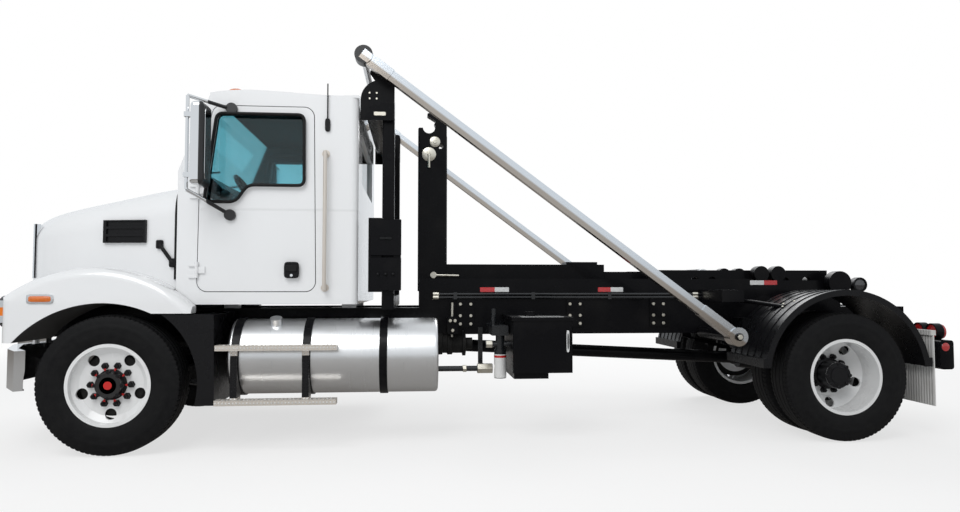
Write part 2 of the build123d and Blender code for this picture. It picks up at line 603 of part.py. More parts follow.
# Windscreen and rear window
with BuildPart() as cab_glass:
    with BuildSketch(Plane.XZ.offset(-SIDE_IN)):
        with BuildLine():
            Polyline((CAB_X0 + 4, SCREEN_Z), (CAB_X0 + SCREEN_RUN + 2, ROOF_Z),
                     (CAB_X0 + SCREEN_RUN + 2 + GLASS_T, ROOF_Z), (CAB_X0 + 4 + GLASS_T, SCREEN_Z), close=True)
        make_face()
    extrude(amount=2 * SIDE_IN)
    block((CAB_X1 - 34, CAB_X1 - 34 + GLASS_T), (-REAR_WINDOW[0], REAR_WINDOW[0]),
          (REAR_WINDOW[2] - REAR_WINDOW[1] / 2, REAR_WINDOW[2] + REAR_WINDOW[1] / 2))
cab_glass.part.label = "cab_glass"
export_step(cab_glass.part, "parts/cab_glass.step")

# Dashboard with the steering column and wheel
SEAT_Y = 500
WHEEL_RIM_R = 215
with BuildPart() as dashboard:
    with BuildSketch(Plane.XZ.offset(-SIDE_IN)):
        with BuildLine():
            Polyline((CAB_X0 + CAB_WALL, SCREEN_Z - 400), (CAB_X0 + CAB_WALL, SCREEN_Z - 30),
                     (CAB_X0 + 200, SCREEN_Z - 20), (CAB_X0 + 310, SCREEN_Z - 120),
                     (CAB_X0 + 260, SCREEN_Z - 400), close=True)
        make_face()
    extrude(amount=2 * SIDE_IN)
    bar((CAB_X0 + 240, -SEAT_Y, SCREEN_Z - 260), (CAB_X0 + 420, -SEAT_Y, SCREEN_Z - 130), 30)
    with Locations(Plane(origin=(CAB_X0 + 420, -SEAT_Y, SCREEN_Z - 130), z_dir=(180, 0, 130)).location):
        Torus(WHEEL_RIM_R, 16)
        Box(2 * WHEEL_RIM_R, 40, 20)
dashboard.part.label = "dashboard"
export_step(dashboard.part, "parts/dashboard.step")

# Two seats: pedestal, cushion and backrest
SEAT_X = CAB_X1 - 705
with BuildPart() as seats:
    for side in SIDES:
        ys = (side * SEAT_Y - 250, side * SEAT_Y + 250)
        block((SEAT_X + 60, SEAT_X + 440), (side * SEAT_Y - 190, side * SEAT_Y + 190), (FLOOR_Z, FLOOR_Z + 330))
        block((SEAT_X, SEAT_X + 500), ys, (FLOOR_Z + 330, FLOOR_Z + 470))
        block((SEAT_X + 400, SEAT_X + 530), ys, (FLOOR_Z + 470, FLOOR_Z + 1150))
seats.part.label = "seats"
export_step(seats.part, "parts/seats.step")

# Doors, hung at their front edges, with glass and mirrors
with BuildPart() as door_left:
    with BuildSketch(Plane.XZ.offset(SIDE_IN)):
        add(DOORWAY)
        offset(amount=-DOOR_GAP, mode=Mode.REPLACE)
        add(WINDOW, mode=Mode.SUBTRACT)
    extrude(amount=CAB_WALL)
    for z in HINGE_Z:
        bar((HINGE_X, -HINGE_Y, z - 25), (HINGE_X, -HINGE_Y, z + 25), 14)
        block((HINGE_X, HINGE_X + 60), (-HINGE_Y, -CAB_HALF_W), (z - 25, z + 25))
        bar((HINGE_X, -HINGE_Y, z - 25), (HINGE_X, -HINGE_Y, z + 25), HINGE_PIN_R + RUN_GAP, Mode.SUBTRACT)
door_left.part.label = "door_left"
export_step(door_left.part, "parts/door_left.step")

with BuildPart() as door_right:
    mirror(door_left.part, about=Plane.XZ)
door_right.part.label = "door_right"
export_step(door_right.part, "parts/door_right.step")

with BuildPart() as door_glass_left:
    with BuildSketch(Plane.XZ.offset(SIDE_IN + 30)):
        add(WINDOW)
    extrude(amount=GLASS_T)
door_glass_left.part.label = "door_glass_left"
export_step(door_glass_left.part, "parts/door_glass_left.step")

with BuildPart() as door_glass_right:
    mirror(door_glass_left.part, about=Plane.XZ)
door_glass_right.part.label = "door_glass_right"
export_step(door_glass_right.part, "parts/door_glass_right.step")

# Mirrors: a rounded head on an upright tube, held off the door by two arms
MIRROR_X = CAB_X0 + 235
MIRROR_Y = CAB_HALF_W + 250
MIRROR_L = 100
MIRROR_W = 220
MIRROR_H = 600
MIRROR_Z = CAB_Z0 + 1160
MIRROR_EDGE_R = 34
STALK_X = CAB_X0 + 140
STALK_R = 13
FOOT_X = CAB_X0 + 390
ARMS_Z = (
    # height on the door, height on the upright tube
    (CAB_Z0 + 676, CAB_Z0 + 835),
    (CAB_Z0 + 1490, CAB_Z0 + 1520),
)
with BuildPart() as mirror_left:
    with Locations((MIRROR_X, -MIRROR_Y, MIRROR_Z)):
        Box(MIRROR_L, MIRROR_W, MIRROR_H)
    fillet(edges(), MIRROR_EDGE_R)
    bar((STALK_X, -MIRROR_Y, ARMS_Z[0][1]), (STALK_X, -MIRROR_Y, ARMS_Z[1][1]), STALK_R)
    for door_z, stalk_z in ARMS_Z:
        bar((FOOT_X, -CAB_HALF_W + 20, door_z), (STALK_X, -MIRROR_Y, stalk_z), STALK_R + 1)
        bar((FOOT_X, -CAB_HALF_W, door_z), (FOOT_X, -CAB_HALF_W - 30, door_z), 42)
    for clamp_z in (MIRROR_Z - 220, MIRROR_Z + 220):
        block((STALK_X - 20, MIRROR_X), (-MIRROR_Y - 20, -MIRROR_Y + 20), (clamp_z - 18, clamp_z + 18))
    block((CAB_X0, CAB_X0 + 600), (-CAB_HALF_W, -CAB_HALF_W + 100), (CAB_Z0, CAB_Z1), Mode.SUBTRACT)
mirror_left.part.label = "mirror_left"
export_step(mirror_left.part, "parts/mirror_left.step")

with BuildPart() as mirror_right:
    mirror(mirror_left.part, about=Plane.XZ)
mirror_right.part.label = "mirror_right"
export_step(mirror_right.part, "parts/mirror_right.step")

# Fuel tank on the driver's side, its straps, the steps in front of it and the rails to hold on the cab's sides
TANK_R = 290
TANK_END_R = 25
TANK_Y = 850
TANK_Z = RAIL_Z0 - 130
TANK_X = (SPLASH_X1 + 72, SPLASH_X1 + 1640)
with BuildPart() as fuel_tank:
    bar((TANK_X[0], -TANK_Y, TANK_Z), (TANK_X[1], -TANK_Y, TANK_Z), TANK_R)
    fillet(edges().filter_by(GeomType.CIRCLE), TANK_END_R)
    bar((TANK_X[0] + 330, -TANK_Y - 110, TANK_Z + 200), (TANK_X[0] + 330, -TANK_Y - 150, TANK_Z + 300), 45)
fuel_tank.part.label = "fuel_tank"
export_step(fuel_tank.part, "parts/fuel_tank.step")

STRAP_X = (TANK_X[0] + 60, TANK_X[0] + 580, TANK_X[0] + 1149)
with BuildPart() as tank_straps:
    for strap_x in STRAP_X:
        bar((strap_x - 30, -TANK_Y, TANK_Z), (strap_x + 30, -TANK_Y, TANK_Z), TANK_R + 10)
        block((strap_x - 30, strap_x + 30), (-TANK_Y, -RAIL_OUT), (RAIL_Z0 + 10, RAIL_Z0 + 150))
    bar((TANK_X[0] - 50, -TANK_Y, TANK_Z), (TANK_X[1] + 50, -TANK_Y, TANK_Z), TANK_R, Mode.SUBTRACT)
tank_straps.part.label = "tank_straps"
export_step(tank_straps.part, "parts/tank_straps.step")

GRAB_X = CAB_X1 - 245
GRAB_R = 15
GRAB_OFF = 55
GRAB_Z = (CAB_Z0 + 110, CAB_Z0 + 1170)
STEP_Y = (TANK_Y + 280, TANK_Y + 370)
STEP_X = (SPLASH_X1 + 8, SPLASH_X1 + 883)
STEP_Z = (AXLE_Z - 113, AXLE_Z + 285)
with BuildPart() as cab_steps:
    for step_z in STEP_Z:
        block(STEP_X, (-STEP_Y[1], -STEP_Y[0]), (step_z - 40, step_z))
    for strap_x in STRAP_X[:2]:
        block((strap_x - 25, strap_x + 25), (-TANK_Y - TANK_R - 30, -TANK_Y - 200), (STEP_Z[0] - 40, STEP_Z[1]))
    bar((STEP_X[0], -TANK_Y, TANK_Z), (STEP_X[1], -TANK_Y, TANK_Z), TANK_R + 10, Mode.SUBTRACT)
    for side in SIDES:
        rail_y = side * (CAB_HALF_W + GRAB_OFF)
        bar((GRAB_X, rail_y, GRAB_Z[0]), (GRAB_X, rail_y, GRAB_Z[1]), GRAB_R)
        for end_z in (GRAB_Z[0] + GRAB_R, GRAB_Z[1] - GRAB_R):
            bar((GRAB_X, side * CAB_HALF_W, end_z), (GRAB_X, rail_y, end_z), GRAB_R - 1)
            bar((GRAB_X, side * CAB_HALF_W, end_z), (GRAB_X, side * (CAB_HALF_W + 8), end_z), 2 * GRAB_R)
cab_steps.part.label = "cab_steps"
export_step(cab_steps.part, "parts/cab_steps.step")

# Box under the passenger's side, with its own step edge
with BuildPart() as side_box:
    block((SPLASH_X1 + 43, SPLASH_X1 + 1253), (RAIL_OUT, CAB_HALF_W + 130), (AXLE_Z - 150, RAIL_Z0 + 60))
    fillet(edges().filter_by(Axis.X), 40)
    block((SPLASH_X1 + 43, SPLASH_X1 + 1253), (CAB_HALF_W + 80, CAB_HALF_W + 160), (AXLE_Z - 20, AXLE_Z + 15))
side_box.part.label = "side_box"
export_step(side_box.part, "parts/side_box.step")

# Hydraulic tank: a welded box with an overhanging lid and a sump at its front
HYD_X = (FA + 2963, FA + 3432)
HYD_OUT = CAB_HALF_W + 50
HYD_Z = (RAIL_Z0 - 260, RAIL_Z0 + 165)
with BuildPart() as hydraulic_tank:
    block(HYD_X, (-HYD_OUT, -RAIL_OUT), HYD_Z)
    fillet(edges().filter_by(Axis.Z), 14)
    block((HYD_X[0] - 8, HYD_X[1] + 8), (-HYD_OUT - 8, -RAIL_OUT), (HYD_Z[1] - 22, HYD_Z[1] + 8))
    block((HYD_X[0] + 10, HYD_X[0] + 280), (-HYD_OUT + 20, -RAIL_OUT - 80), (HYD_Z[0] - 45, HYD_Z[0]))
    bar((HYD_X[0] + 160, -HYD_OUT + 180, HYD_Z[1]), (HYD_X[0] + 160, -HYD_OUT + 180, HYD_Z[1] + 45), 42)
hydraulic_tank.part.label = "hydraulic_tank"
export_step(hydraulic_tank.part, "parts/hydraulic_tank.step")

# Hydraulic lines: return filter and its pipe to the tank, the long pipe below, and two tubes along the subframe
FILTER_X = HYD_X[0] - 75
FILTER_Y = -HYD_OUT + 220
FILTER_R = 48
TUBE_R = 11
TUBE_Z = (RAIL_Z1 + 88, RAIL_Z1 + 116)
TUBE_X = (SUB_X0 + 160, ARM_BOX_X)
PIPE_Z = AXLE_Z + 42
PIPE_Y = -TANK_Y + 150
with BuildPart() as hydraulic_lines:
    bar((FILTER_X, FILTER_Y, RAIL_Z0 - 320), (FILTER_X, FILTER_Y, RAIL_Z0 - 90), FILTER_R)
    bar((FILTER_X, FILTER_Y, RAIL_Z0 - 95), (FILTER_X, FILTER_Y, RAIL_Z0 + 60), FILTER_R - 12)
    bar((FILTER_X - 120, FILTER_Y, RAIL_Z0 - 50), (HYD_X[0], FILTER_Y, RAIL_Z0 - 50), 24)
    block((FILTER_X - 70, FILTER_X + 60), (FILTER_Y - 55, -RAIL_OUT), (RAIL_Z0 + 20, RAIL_Z0 + 100))
    bar((FILTER_X - 40, FILTER_Y + 110, RAIL_Z0 + 90), (FILTER_X - 40, FILTER_Y + 110, RAIL_Z0 + 230), 20)
    bar((TANK_X[1], PIPE_Y, PIPE_Z), (FILTER_X - 60, PIPE_Y, PIPE_Z), 2 * TUBE_R)
    bar((FILTER_X - 170, PIPE_Y, PIPE_Z), (FILTER_X - 60, PIPE_Y, PIPE_Z), 3 * TUBE_R)
    block((FILTER_X - 140, FILTER_X - 100), (PIPE_Y, -RAIL_OUT), (PIPE_Z, PIPE_Z + 20))
    block((FILTER_X - 140, FILTER_X - 100), (-RAIL_OUT - 14, -RAIL_OUT), (PIPE_Z, RAIL_Z0 + 60))
    for tube_z in TUBE_Z:
        bar((TUBE_X[0], -SUB_OUT - 22, tube_z), (TUBE_X[1], -SUB_OUT - 22, tube_z), TUBE_R)
    for share in range(4):
        clip_x = TUBE_X[0] + 150 + share * (TUBE_X[1] - TUBE_X[0] - 300) / 3
        block((clip_x - 15, clip_x + 15), (-SUB_OUT - 36, -SUB_OUT), (TUBE_Z[0] - 16, TUBE_Z[1] + 16))
hydraulic_lines.part.label = "hydraulic_lines"
export_step(hydraulic_lines.part, "parts/hydraulic_lines.step")

# Rear fenders: ribbed arcs with a rolled outer lip, hung over the twin wheels from the rails
REAR_FENDER_R = TYRE_D / 2 + 160
REAR_FENDER_T = 12
REAR_FENDER_Y = (590, 1235)
RIBS = 5
RIB_W = 40
RIB_PITCH = 112
with BuildPart() as rear_fender_left:
    bar((RA, -REAR_FENDER_Y[1], AXLE_Z), (RA, -REAR_FENDER_Y[0], AXLE_Z), REAR_FENDER_R + REAR_FENDER_T)
    for rib in range(RIBS):
        rib_y = -REAR_FENDER_Y[0] - 60 - rib * RIB_PITCH
        bar((RA, rib_y - RIB_W / 2, AXLE_Z), (RA, rib_y + RIB_W / 2, AXLE_Z), REAR_FENDER_R + REAR_FENDER_T + 6)
    bar((RA, -REAR_FENDER_Y[1], AXLE_Z), (RA, -REAR_FENDER_Y[1] + RIB_W, AXLE_Z), REAR_FENDER_R + REAR_FENDER_T + 9)
    for end in SIDES:
        bracket_x = RA + end * (REAR_FENDER_R * 0.83)
        block((bracket_x - 30, bracket_x + 30), (-REAR_FENDER_Y[0] - 60, -RAIL_OUT), (RAIL_Z0 + 40, RAIL_Z0 + 140))
        block((RA + end * (REAR_FENDER_R - 30), RA + end * (REAR_FENDER_R + 32)),
              (-REAR_FENDER_Y[1], -REAR_FENDER_Y[0]), (AXLE_Z + 80, AXLE_Z + 150))
    bar((RA, -REAR_FENDER_Y[1] + REAR_FENDER_T, AXLE_Z), (RA, -REAR_FENDER_Y[0], AXLE_Z), REAR_FENDER_R, Mode.SUBTRACT)
    bar((RA, -REAR_FENDER_Y[1], AXLE_Z), (RA, -REAR_FENDER_Y[0], AXLE_Z), REAR_FENDER_R - 26, Mode.SUBTRACT)
    block((RA - 1000, RA + 1000), (-REAR_FENDER_Y[1], -REAR_FENDER_Y[0]), (-AXLE_Z, AXLE_Z + 80), Mode.SUBTRACT)
rear_fender_left.part.label = "rear_fender_left"
export_step(rear_fender_left.part, "parts/rear_fender_left.step")

with BuildPart() as rear_fender_right:
    mirror(rear_fender_left.part, about=Plane.XZ)
rear_fender_right.part.label = "rear_fender_right"
export_step(rear_fender_right.part, "parts/rear_fender_right.step")

# Mud flaps behind the rear wheels, hung from hanger bars on the rails
FLAP_X = RA + REAR_FENDER_R + REAR_FENDER_T + 48
with BuildPart() as mud_flaps:
    block((FLAP_X, FLAP_X + 10), (-1210, -600), (AXLE_Z - 237, RAIL_Z0 + 20))
    block((FLAP_X - 15, FLAP_X + 25), (-1210, -RAIL_OUT), (RAIL_Z0 + 20, RAIL_Z0 + 60))
    mirror(about=Plane.XZ)
mud_flaps.part.label = "mud_flaps"
export_step(mud_flaps.part, "parts/mud_flaps.step")

# Rear bumper: a rounded box beam below the rails' ends, with round guards for the lamps on it
BUMPER_Y = 950
REAR_BUMPER_Z = (AXLE_Z + 20, AXLE_Z + 264)
GUARD_R = 72
GUARD_T = 10
LAMP_YS = (640, 800)
GUARD_Z = REAR_BUMPER_Z[1] + GUARD_R - 8
with BuildPart() as rear_bumper:
    block((REAR_X - 130, REAR_X - 10), (-BUMPER_Y, BUMPER_Y), REAR_BUMPER_Z)
    fillet(edges().filter_by(Axis.Y), 25)
    for side in SIDES:
        block((RAIL_X1, REAR_X - 70), (side * 330, side * RAIL_OUT), (REAR_BUMPER_Z[1] - 40, RAIL_Z1))
        for lamp_y in LAMP_YS:
            bar((REAR_X - 95, side * lamp_y, GUARD_Z), (REAR_X - 25, side * lamp_y, GUARD_Z), GUARD_R)
            bar((REAR_X - 95, side * lamp_y, GUARD_Z), (REAR_X - 25, side * lamp_y, GUARD_Z), GUARD_R - GUARD_T,
                Mode.SUBTRACT)
rear_bumper.part.label = "rear_bumper"
export_step(rear_bumper.part, "parts/rear_bumper.step")

with BuildPart() as tail_lamps:
    for side in SIDES:
        for lamp_y in LAMP_YS:
            bar((REAR_X - 85, side * lamp_y, GUARD_Z), (REAR_X, side * lamp_y, GUARD_Z), GUARD_R - GUARD_T)
tail_lamps.part.label = "tail_lamps"
export_step(tail_lamps.part, "parts/tail_lamps.step")

# Hook lift subframe: two box rails plated to the chassis, cross members, hinge pins and rear rollers
PLATE_XS = (SUB_X0 + 400, RA - 2010, RA - 1260)
ROLLER_XS = (RA - 292, RA - 133)
ROLLER_R = 69
# The container's sills rest on the rails as far as REST_END, and the rails step down under the rollers
REST_END = ROLLER_XS[0] - ROLLER_R - 20
REST_STEP = 12
with BuildPart() as subframe:
    for side in SIDES:
        rail_y = (side * (SUB_OUT - SUB_W), side * SUB_OUT)
        block((SUB_X0, REST_END), rail_y, (RAIL_Z1, SUB_Z1))
        block((REST_END, TILT_X + 60), rail_y, (RAIL_Z1, SUB_Z1 - REST_STEP))
        bar((TILT_X, side * 200, TILT_Z), (TILT_X, side * (SUB_OUT + 10), TILT_Z), TILT_PIN_R)
        bar((TILT_X, side * (SUB_OUT + 10), TILT_Z), (TILT_X, side * (SUB_OUT + 100), TILT_Z), 105)
        for roller_x in ROLLER_XS:
            bar((roller_x, rail_y[0], SUB_Z1 + 48), (roller_x, rail_y[1], SUB_Z1 + 48), ROLLER_R)
        for plate_x in PLATE_XS:
            block((plate_x - 75, plate_x + 75), (side * RAIL_OUT, side * (RAIL_OUT + 12)), (RAIL_Z0 + 60, RAIL_Z1 + 70))
            block((plate_x - 75, plate_x + 75), (side * (SUB_OUT - 5), side * (RAIL_OUT + 12)), (RAIL_Z1, RAIL_Z1 + 70))
        block((CYL_BASE[0] - 60, CYL_BASE[0] + 60), (side * 285, side * (SUB_OUT - SUB_W)),
              (CYL_BASE[1] - 60, RAIL_Z1 + 40))
        bar((CYL_BASE[0], side * 120, CYL_BASE[1]), (CYL_BASE[0], side * 300, CYL_BASE[1]), CYL_PIN_R)
    for member_x in (SUB_X0 + 80, (SUB_X0 + CYL_BASE[0]) / 2):
        block((member_x - 50, member_x + 50), (-SUB_OUT + SUB_W, SUB_OUT - SUB_W), (RAIL_Z1, RAIL_Z1 + 100))
subframe.part.label = "subframe"
export_step(subframe.part, "parts/subframe.step")

# Tilt frame: two side rails hinged at the back of the subframe, carrying the boom's pivot
TILT_IN = TILT_OUT - TILT_T
with BuildPart() as tilt_frame:
    for side in SIDES:
        rail_y = (side * TILT_IN, side * TILT_OUT)
        with BuildSketch(Plane.XZ.offset(-max(rail_y))):
            with BuildLine():
                Polyline((BOOM_X - TILT_REACH, SUB_Z1 - 20), (BOOM_X - TILT_REACH, SUB_Z1 + 81), (TILT_X, SUB_Z1 + 81),
                         (TILT_X, SUB_Z1 - 145), (BOOM_X - 160, SUB_Z1 - 145), close=True)
            make_face()
            with Locations(*((BOOM_X + hole_x, SUB_Z1 - 20) for hole_x in (-560, -400, 150, 290, 500))):
                Circle(42, mode=Mode.SUBTRACT)
        extrude(amount=TILT_T)
        bar((TILT_X, side * TILT_IN, TILT_Z), (TILT_X, side * (TILT_OUT + 10), TILT_Z), 78)
    bar((BOOM_X, -TILT_OUT, BOOM_Z), (BOOM_X, TILT_OUT, BOOM_Z), BOOM_PIN_R)
    bar((TILT_X, -TILT_OUT, TILT_Z), (TILT_X, TILT_OUT, TILT_Z), 70)
    for member_x in (BOOM_X - 250, BOOM_X + 390):
        block((member_x - 40, member_x + 40), (-TILT_IN, TILT_IN), (SUB_Z1 - 145, SUB_Z1 - 100))
    bar((TILT_X, -SUB_OUT, TILT_Z), (TILT_X, SUB_OUT, TILT_Z), TILT_PIN_R + RUN_GAP, Mode.SUBTRACT)
tilt_frame.part.label = "tilt_frame"
export_step(tilt_frame.part, "parts/tilt_frame.step")

# Boom: a box beam from its pivot forward into the jib's sleeve, with the cylinder lugs
BOOM_FRONT = BOOM_X - BOOM_BARE - BOOM_LAP
with BuildPart() as boom:
    block((BOOM_FRONT, BOOM_X), (-BOOM_HALF_W, BOOM_HALF_W), (BOOM_Z - BOOM_H / 2, BOOM_Z + BOOM_H / 2))
    bar((BOOM_X, -200, BOOM_Z), (BOOM_X, 200, BOOM_Z), 82)
    bar((CYL_EYE[0], -160, CYL_EYE[1]), (CYL_EYE[0], 160, CYL_EYE[1]), 60)
    bar((BOOM_X, -200, BOOM_Z), (BOOM_X, 200, BOOM_Z), BOOM_PIN_R + RUN_GAP, Mode.SUBTRACT)
    pad = SLIDE_GAP - RUN_GAP
    block((BOOM_FRONT, BOOM_FRONT + 120), (-BOOM_HALF_W - pad, BOOM_HALF_W + pad),
          (BOOM_Z - BOOM_H / 2 - pad, BOOM_Z + BOOM_H / 2 + pad))
boom.part.label = "boom"
export_step(boom.part, "parts/boom.step")

# Jib: a sleeve that slides on the boom, and the upright mast with the hook at its top
SLEEVE_X0 = MAST_X0 + MAST_L
SLEEVE_X1 = BOOM_X - BOOM_BARE
SLEEVE_IN_Y = BOOM_HALF_W + SLIDE_GAP
SLEEVE_IN_H = BOOM_H / 2 + SLIDE_GAP
MAST_HALF_W = 110
HOOK_HALF_T = 45
THROAT_X = 100
THROAT_R = 57
with BuildPart() as jib:
    block((SLEEVE_X0, SLEEVE_X1), (-SLEEVE_IN_Y - SLEEVE_T, SLEEVE_IN_Y + SLEEVE_T),
          (BOOM_Z - SLEEVE_IN_H - SLEEVE_T, BOOM_Z + SLEEVE_IN_H + SLEEVE_T + 35))
    block((SLEEVE_X0, SLEEVE_X1 - 100), (-SLEEVE_IN_Y, SLEEVE_IN_Y), (BOOM_Z - SLEEVE_IN_H, BOOM_Z + SLEEVE_IN_H),
          Mode.SUBTRACT)
    block((SLEEVE_X1 - 100, SLEEVE_X1), (-BOOM_HALF_W - RUN_GAP, BOOM_HALF_W + RUN_GAP),
          (BOOM_Z - BOOM_H / 2 - RUN_GAP, BOOM_Z + BOOM_H / 2 + RUN_GAP), Mode.SUBTRACT)
    block((SLEEVE_X1 - 350, SLEEVE_X1 - 56), (-BOOM_HALF_W, BOOM_HALF_W),
          (BOOM_Z, BOOM_Z + SLEEVE_IN_H + SLEEVE_T + 60))
    block((SLEEVE_X0, SLEEVE_X1), (-SLEEVE_IN_Y, SLEEVE_IN_Y), (BOOM_Z, BOOM_Z + SLEEVE_IN_H), Mode.SUBTRACT)
    block((SLEEVE_X1 - 100, SLEEVE_X1), (-SLEEVE_IN_Y, SLEEVE_IN_Y), (BOOM_Z + BOOM_H / 2 + RUN_GAP, BOOM_Z + SLEEVE_IN_H))
    block((MAST_X0, SLEEVE_X0), (-MAST_HALF_W, MAST_HALF_W), (BOOM_Z - SLEEVE_IN_H - SLEEVE_T, MAST_TOP))
    chamfer(edges().filter_by(Axis.Z).filter_by_position(Axis.Z, SUB_Z1 + 300, MAST_TOP), 14)
    bar((MAST_X0 + 202, -MAST_HALF_W, MAST_TOP - 85), (MAST_X0 + 202, MAST_HALF_W, MAST_TOP - 85), 30, Mode.SUBTRACT)
    with BuildSketch(Plane.XZ.offset(-HOOK_HALF_T)):
        with BuildLine():
            FilletPolyline((MAST_X0, MAST_TOP - 60), (MAST_X0, MAST_TOP + 92), (MAST_X0 + 100, MAST_TOP + 92),
                           (MAST_X0 + 172, MAST_TOP + 150), (MAST_X0 + 62, MAST_TOP + 218),
                           (MAST_X0 + 140, MAST_TOP + 245), (SLEEVE_X0, MAST_TOP + 130), (SLEEVE_X0, MAST_TOP - 60),
                           radius=16, close=True)
        make_face()
        with Locations((MAST_X0 + THROAT_X, MAST_TOP + THROAT_R + 40)):
            Circle(THROAT_R, mode=Mode.SUBTRACT)
    extrude(amount=2 * HOOK_HALF_T)
jib.part.label = "jib"
export_step(jib.part, "parts/jib.step")

# Lift cylinders: a pair of barrels on one base shaft, and their rods
CYL_RUN = Vector(CYL_EYE[0] - CYL_BASE[0], 0, CYL_EYE[1] - CYL_BASE[1])
CYL_DIR = CYL_RUN.normalized()
BARREL_L = CYL_RUN.length - 330


def along(distance, y):
    """A point on a lift cylinder's axis, measured from its base pin."""
    return (CYL_BASE[0] + CYL_DIR.X * distance, y, CYL_BASE[1] + CYL_DIR.Z * distance)


with BuildPart() as lift_barrels:
    for side in SIDES:
        bar(along(0, side * (CYL_Y - 45)), along(0, side * (CYL_Y + 45)), 65)
        bar(along(40, side * CYL_Y), along(BARREL_L, side * CYL_Y), 60)
        bar(along(110, side * CYL_Y), along(BARREL_L, side * CYL_Y), ROD_R + RUN_GAP, Mode.SUBTRACT)
        bar(along(0, side * (CYL_Y - 60)), along(0, side * (CYL_Y + 60)), CYL_PIN_R + RUN_GAP, Mode.SUBTRACT)
    bar(along(95, -CYL_Y), along(95, CYL_Y), 25)
lift_barrels.part.label = "lift_barrels"
export_step(lift_barrels.part, "parts/lift_barrels.step")

with BuildPart() as lift_rods:
    for side in SIDES:
        bar(along(130, side * CYL_Y), along(CYL_RUN.length, side * CYL_Y), ROD_R)
        bar(along(CYL_RUN.length, side * (CYL_Y - 40)), along(CYL_RUN.length, side * (CYL_Y + 40)), 58)
lift_rods.part.label = "lift_rods"
export_step(lift_rods.part, "parts/lift_rods.step")

# Tarp gantry: base beam, posts, end plates and the roll across the top, with the valve box
POST_Y = CAB_HALF_W - 150
POST_X = CAB_X1 + 180
POST_W = 95
SPOOL_Z = CAB_Z1 - 175
END_PLATE_T = 15
END_PLATE_H = 320
with BuildPart() as tarp_tower:
    for side in SIDES:
        block((POST_X, POST_X + POST_W), (side * (POST_Y - 50), side * (POST_Y + 50)), (RAIL_Z1, SPOOL_Z))
    fillet(edges().filter_by(Axis.Z), 14)
    block((POST_X, POST_X + POST_W), (-POST_Y - 50, POST_Y + 50), (RAIL_Z1, RAIL_Z1 + 100))
    for side in SIDES:
        with BuildSketch(Plane.XZ.offset(-max(side * (POST_Y + 85), side * (POST_Y + 85 + END_PLATE_T)))):
            with Locations(((CAB_X1 + 10 + POST_X + POST_W) / 2, CAB_Z1 - 15 - END_PLATE_H / 2)):
                Rectangle(POST_X + POST_W - CAB_X1 - 10, END_PLATE_H)
            fillet(vertices().sort_by(Axis.Y)[-2:].sort_by(Axis.X)[0], END_PLATE_H / 2)
            fillet(vertices().sort_by(Axis.X)[-2:], 30)
        extrude(amount=END_PLATE_T)
    bar((CAB_X1 + 125, -POST_Y - 85, SPOOL_Z), (CAB_X1 + 125, POST_Y + 85, SPOOL_Z), 105)
    block((CAB_X1 + 78, POST_X), (-POST_Y - 100, -POST_Y + 250), (RAIL_Z1 + 138, RAIL_Z1 + 716))
    for door_z0, door_z1 in ((RAIL_Z1 + 150, RAIL_Z1 + 400), (RAIL_Z1 + 425, RAIL_Z1 + 704)):
        block((CAB_X1 + 90, POST_X - 12), (-POST_Y - 110, -POST_Y - 100), (door_z0, door_z1))
tarp_tower.part.label = "tarp_tower"
export_step(tarp_tower.part, "parts/tarp_tower.step")

# Tarp arms: a square tube on each side, in sockets at a bored pivot boss and at the bar across the tips
ARM_RUN = Vector(ARM_TIP[0] - ARM_PIVOT[0], 0, ARM_TIP[1] - ARM_PIVOT[1])
ARM_DIR = ARM_RUN.normalized()
ARM_PIECES = (
    # start and end along the arm, depth, width
    (0, ARM_RUN.length, ARM_DEPTH, ARM_W),
    (40, 360, ARM_DEPTH + 16, ARM_W + 10),
    (ARM_RUN.length - 260, ARM_RUN.length, ARM_DEPTH + 16, ARM_W + 10),
)
with BuildPart() as tarp_arm_left:
    for start, end, depth, width in ARM_PIECES:
        middle = ARM_DIR * ((start + end) / 2) + Vector(ARM_PIVOT[0], -ARM_Y, ARM_PIVOT[1])
        with Locations(Plane(origin=middle, x_dir=(0, 1, 0), z_dir=ARM_DIR).location):
            Box(depth, width, end - start)
    bar((ARM_PIVOT[0], -ARM_Y - 55, ARM_PIVOT[1]), (ARM_PIVOT[0], -ARM_Y + 55, ARM_PIVOT[1]), 75)
    bar((ARM_TIP[0], -ARM_Y - 50, ARM_TIP[1]), (ARM_TIP[0], -ARM_Y + 50, ARM_TIP[1]), 70)
    bar((ARM_PIVOT[0], -ARM_Y - 60, ARM_PIVOT[1]), (ARM_PIVOT[0], -ARM_Y + 60, ARM_PIVOT[1]),
        ARM_PIN_R + RUN_GAP, Mode.SUBTRACT)
tarp_arm_left.part.label = "tarp_arm_left"
export_step(tarp_arm_left.part, "parts/tarp_arm_left.step")

with BuildPart() as tarp_arm_right:
    mirror(tarp_arm_left.part, about=Plane.XZ)
tarp_arm_right.part.label = "tarp_arm_right"
export_step(tarp_arm_right.part, "parts/tarp_arm_right.step")

with BuildPart() as tarp_bar:
    bar((ARM_TIP[0], -ARM_Y + 50, ARM_TIP[1]), (ARM_TIP[0], ARM_Y - 50, ARM_TIP[1]), 30)
tarp_bar.part.label = "tarp_bar"
export_step(tarp_bar.part, "parts/tarp_bar.step")

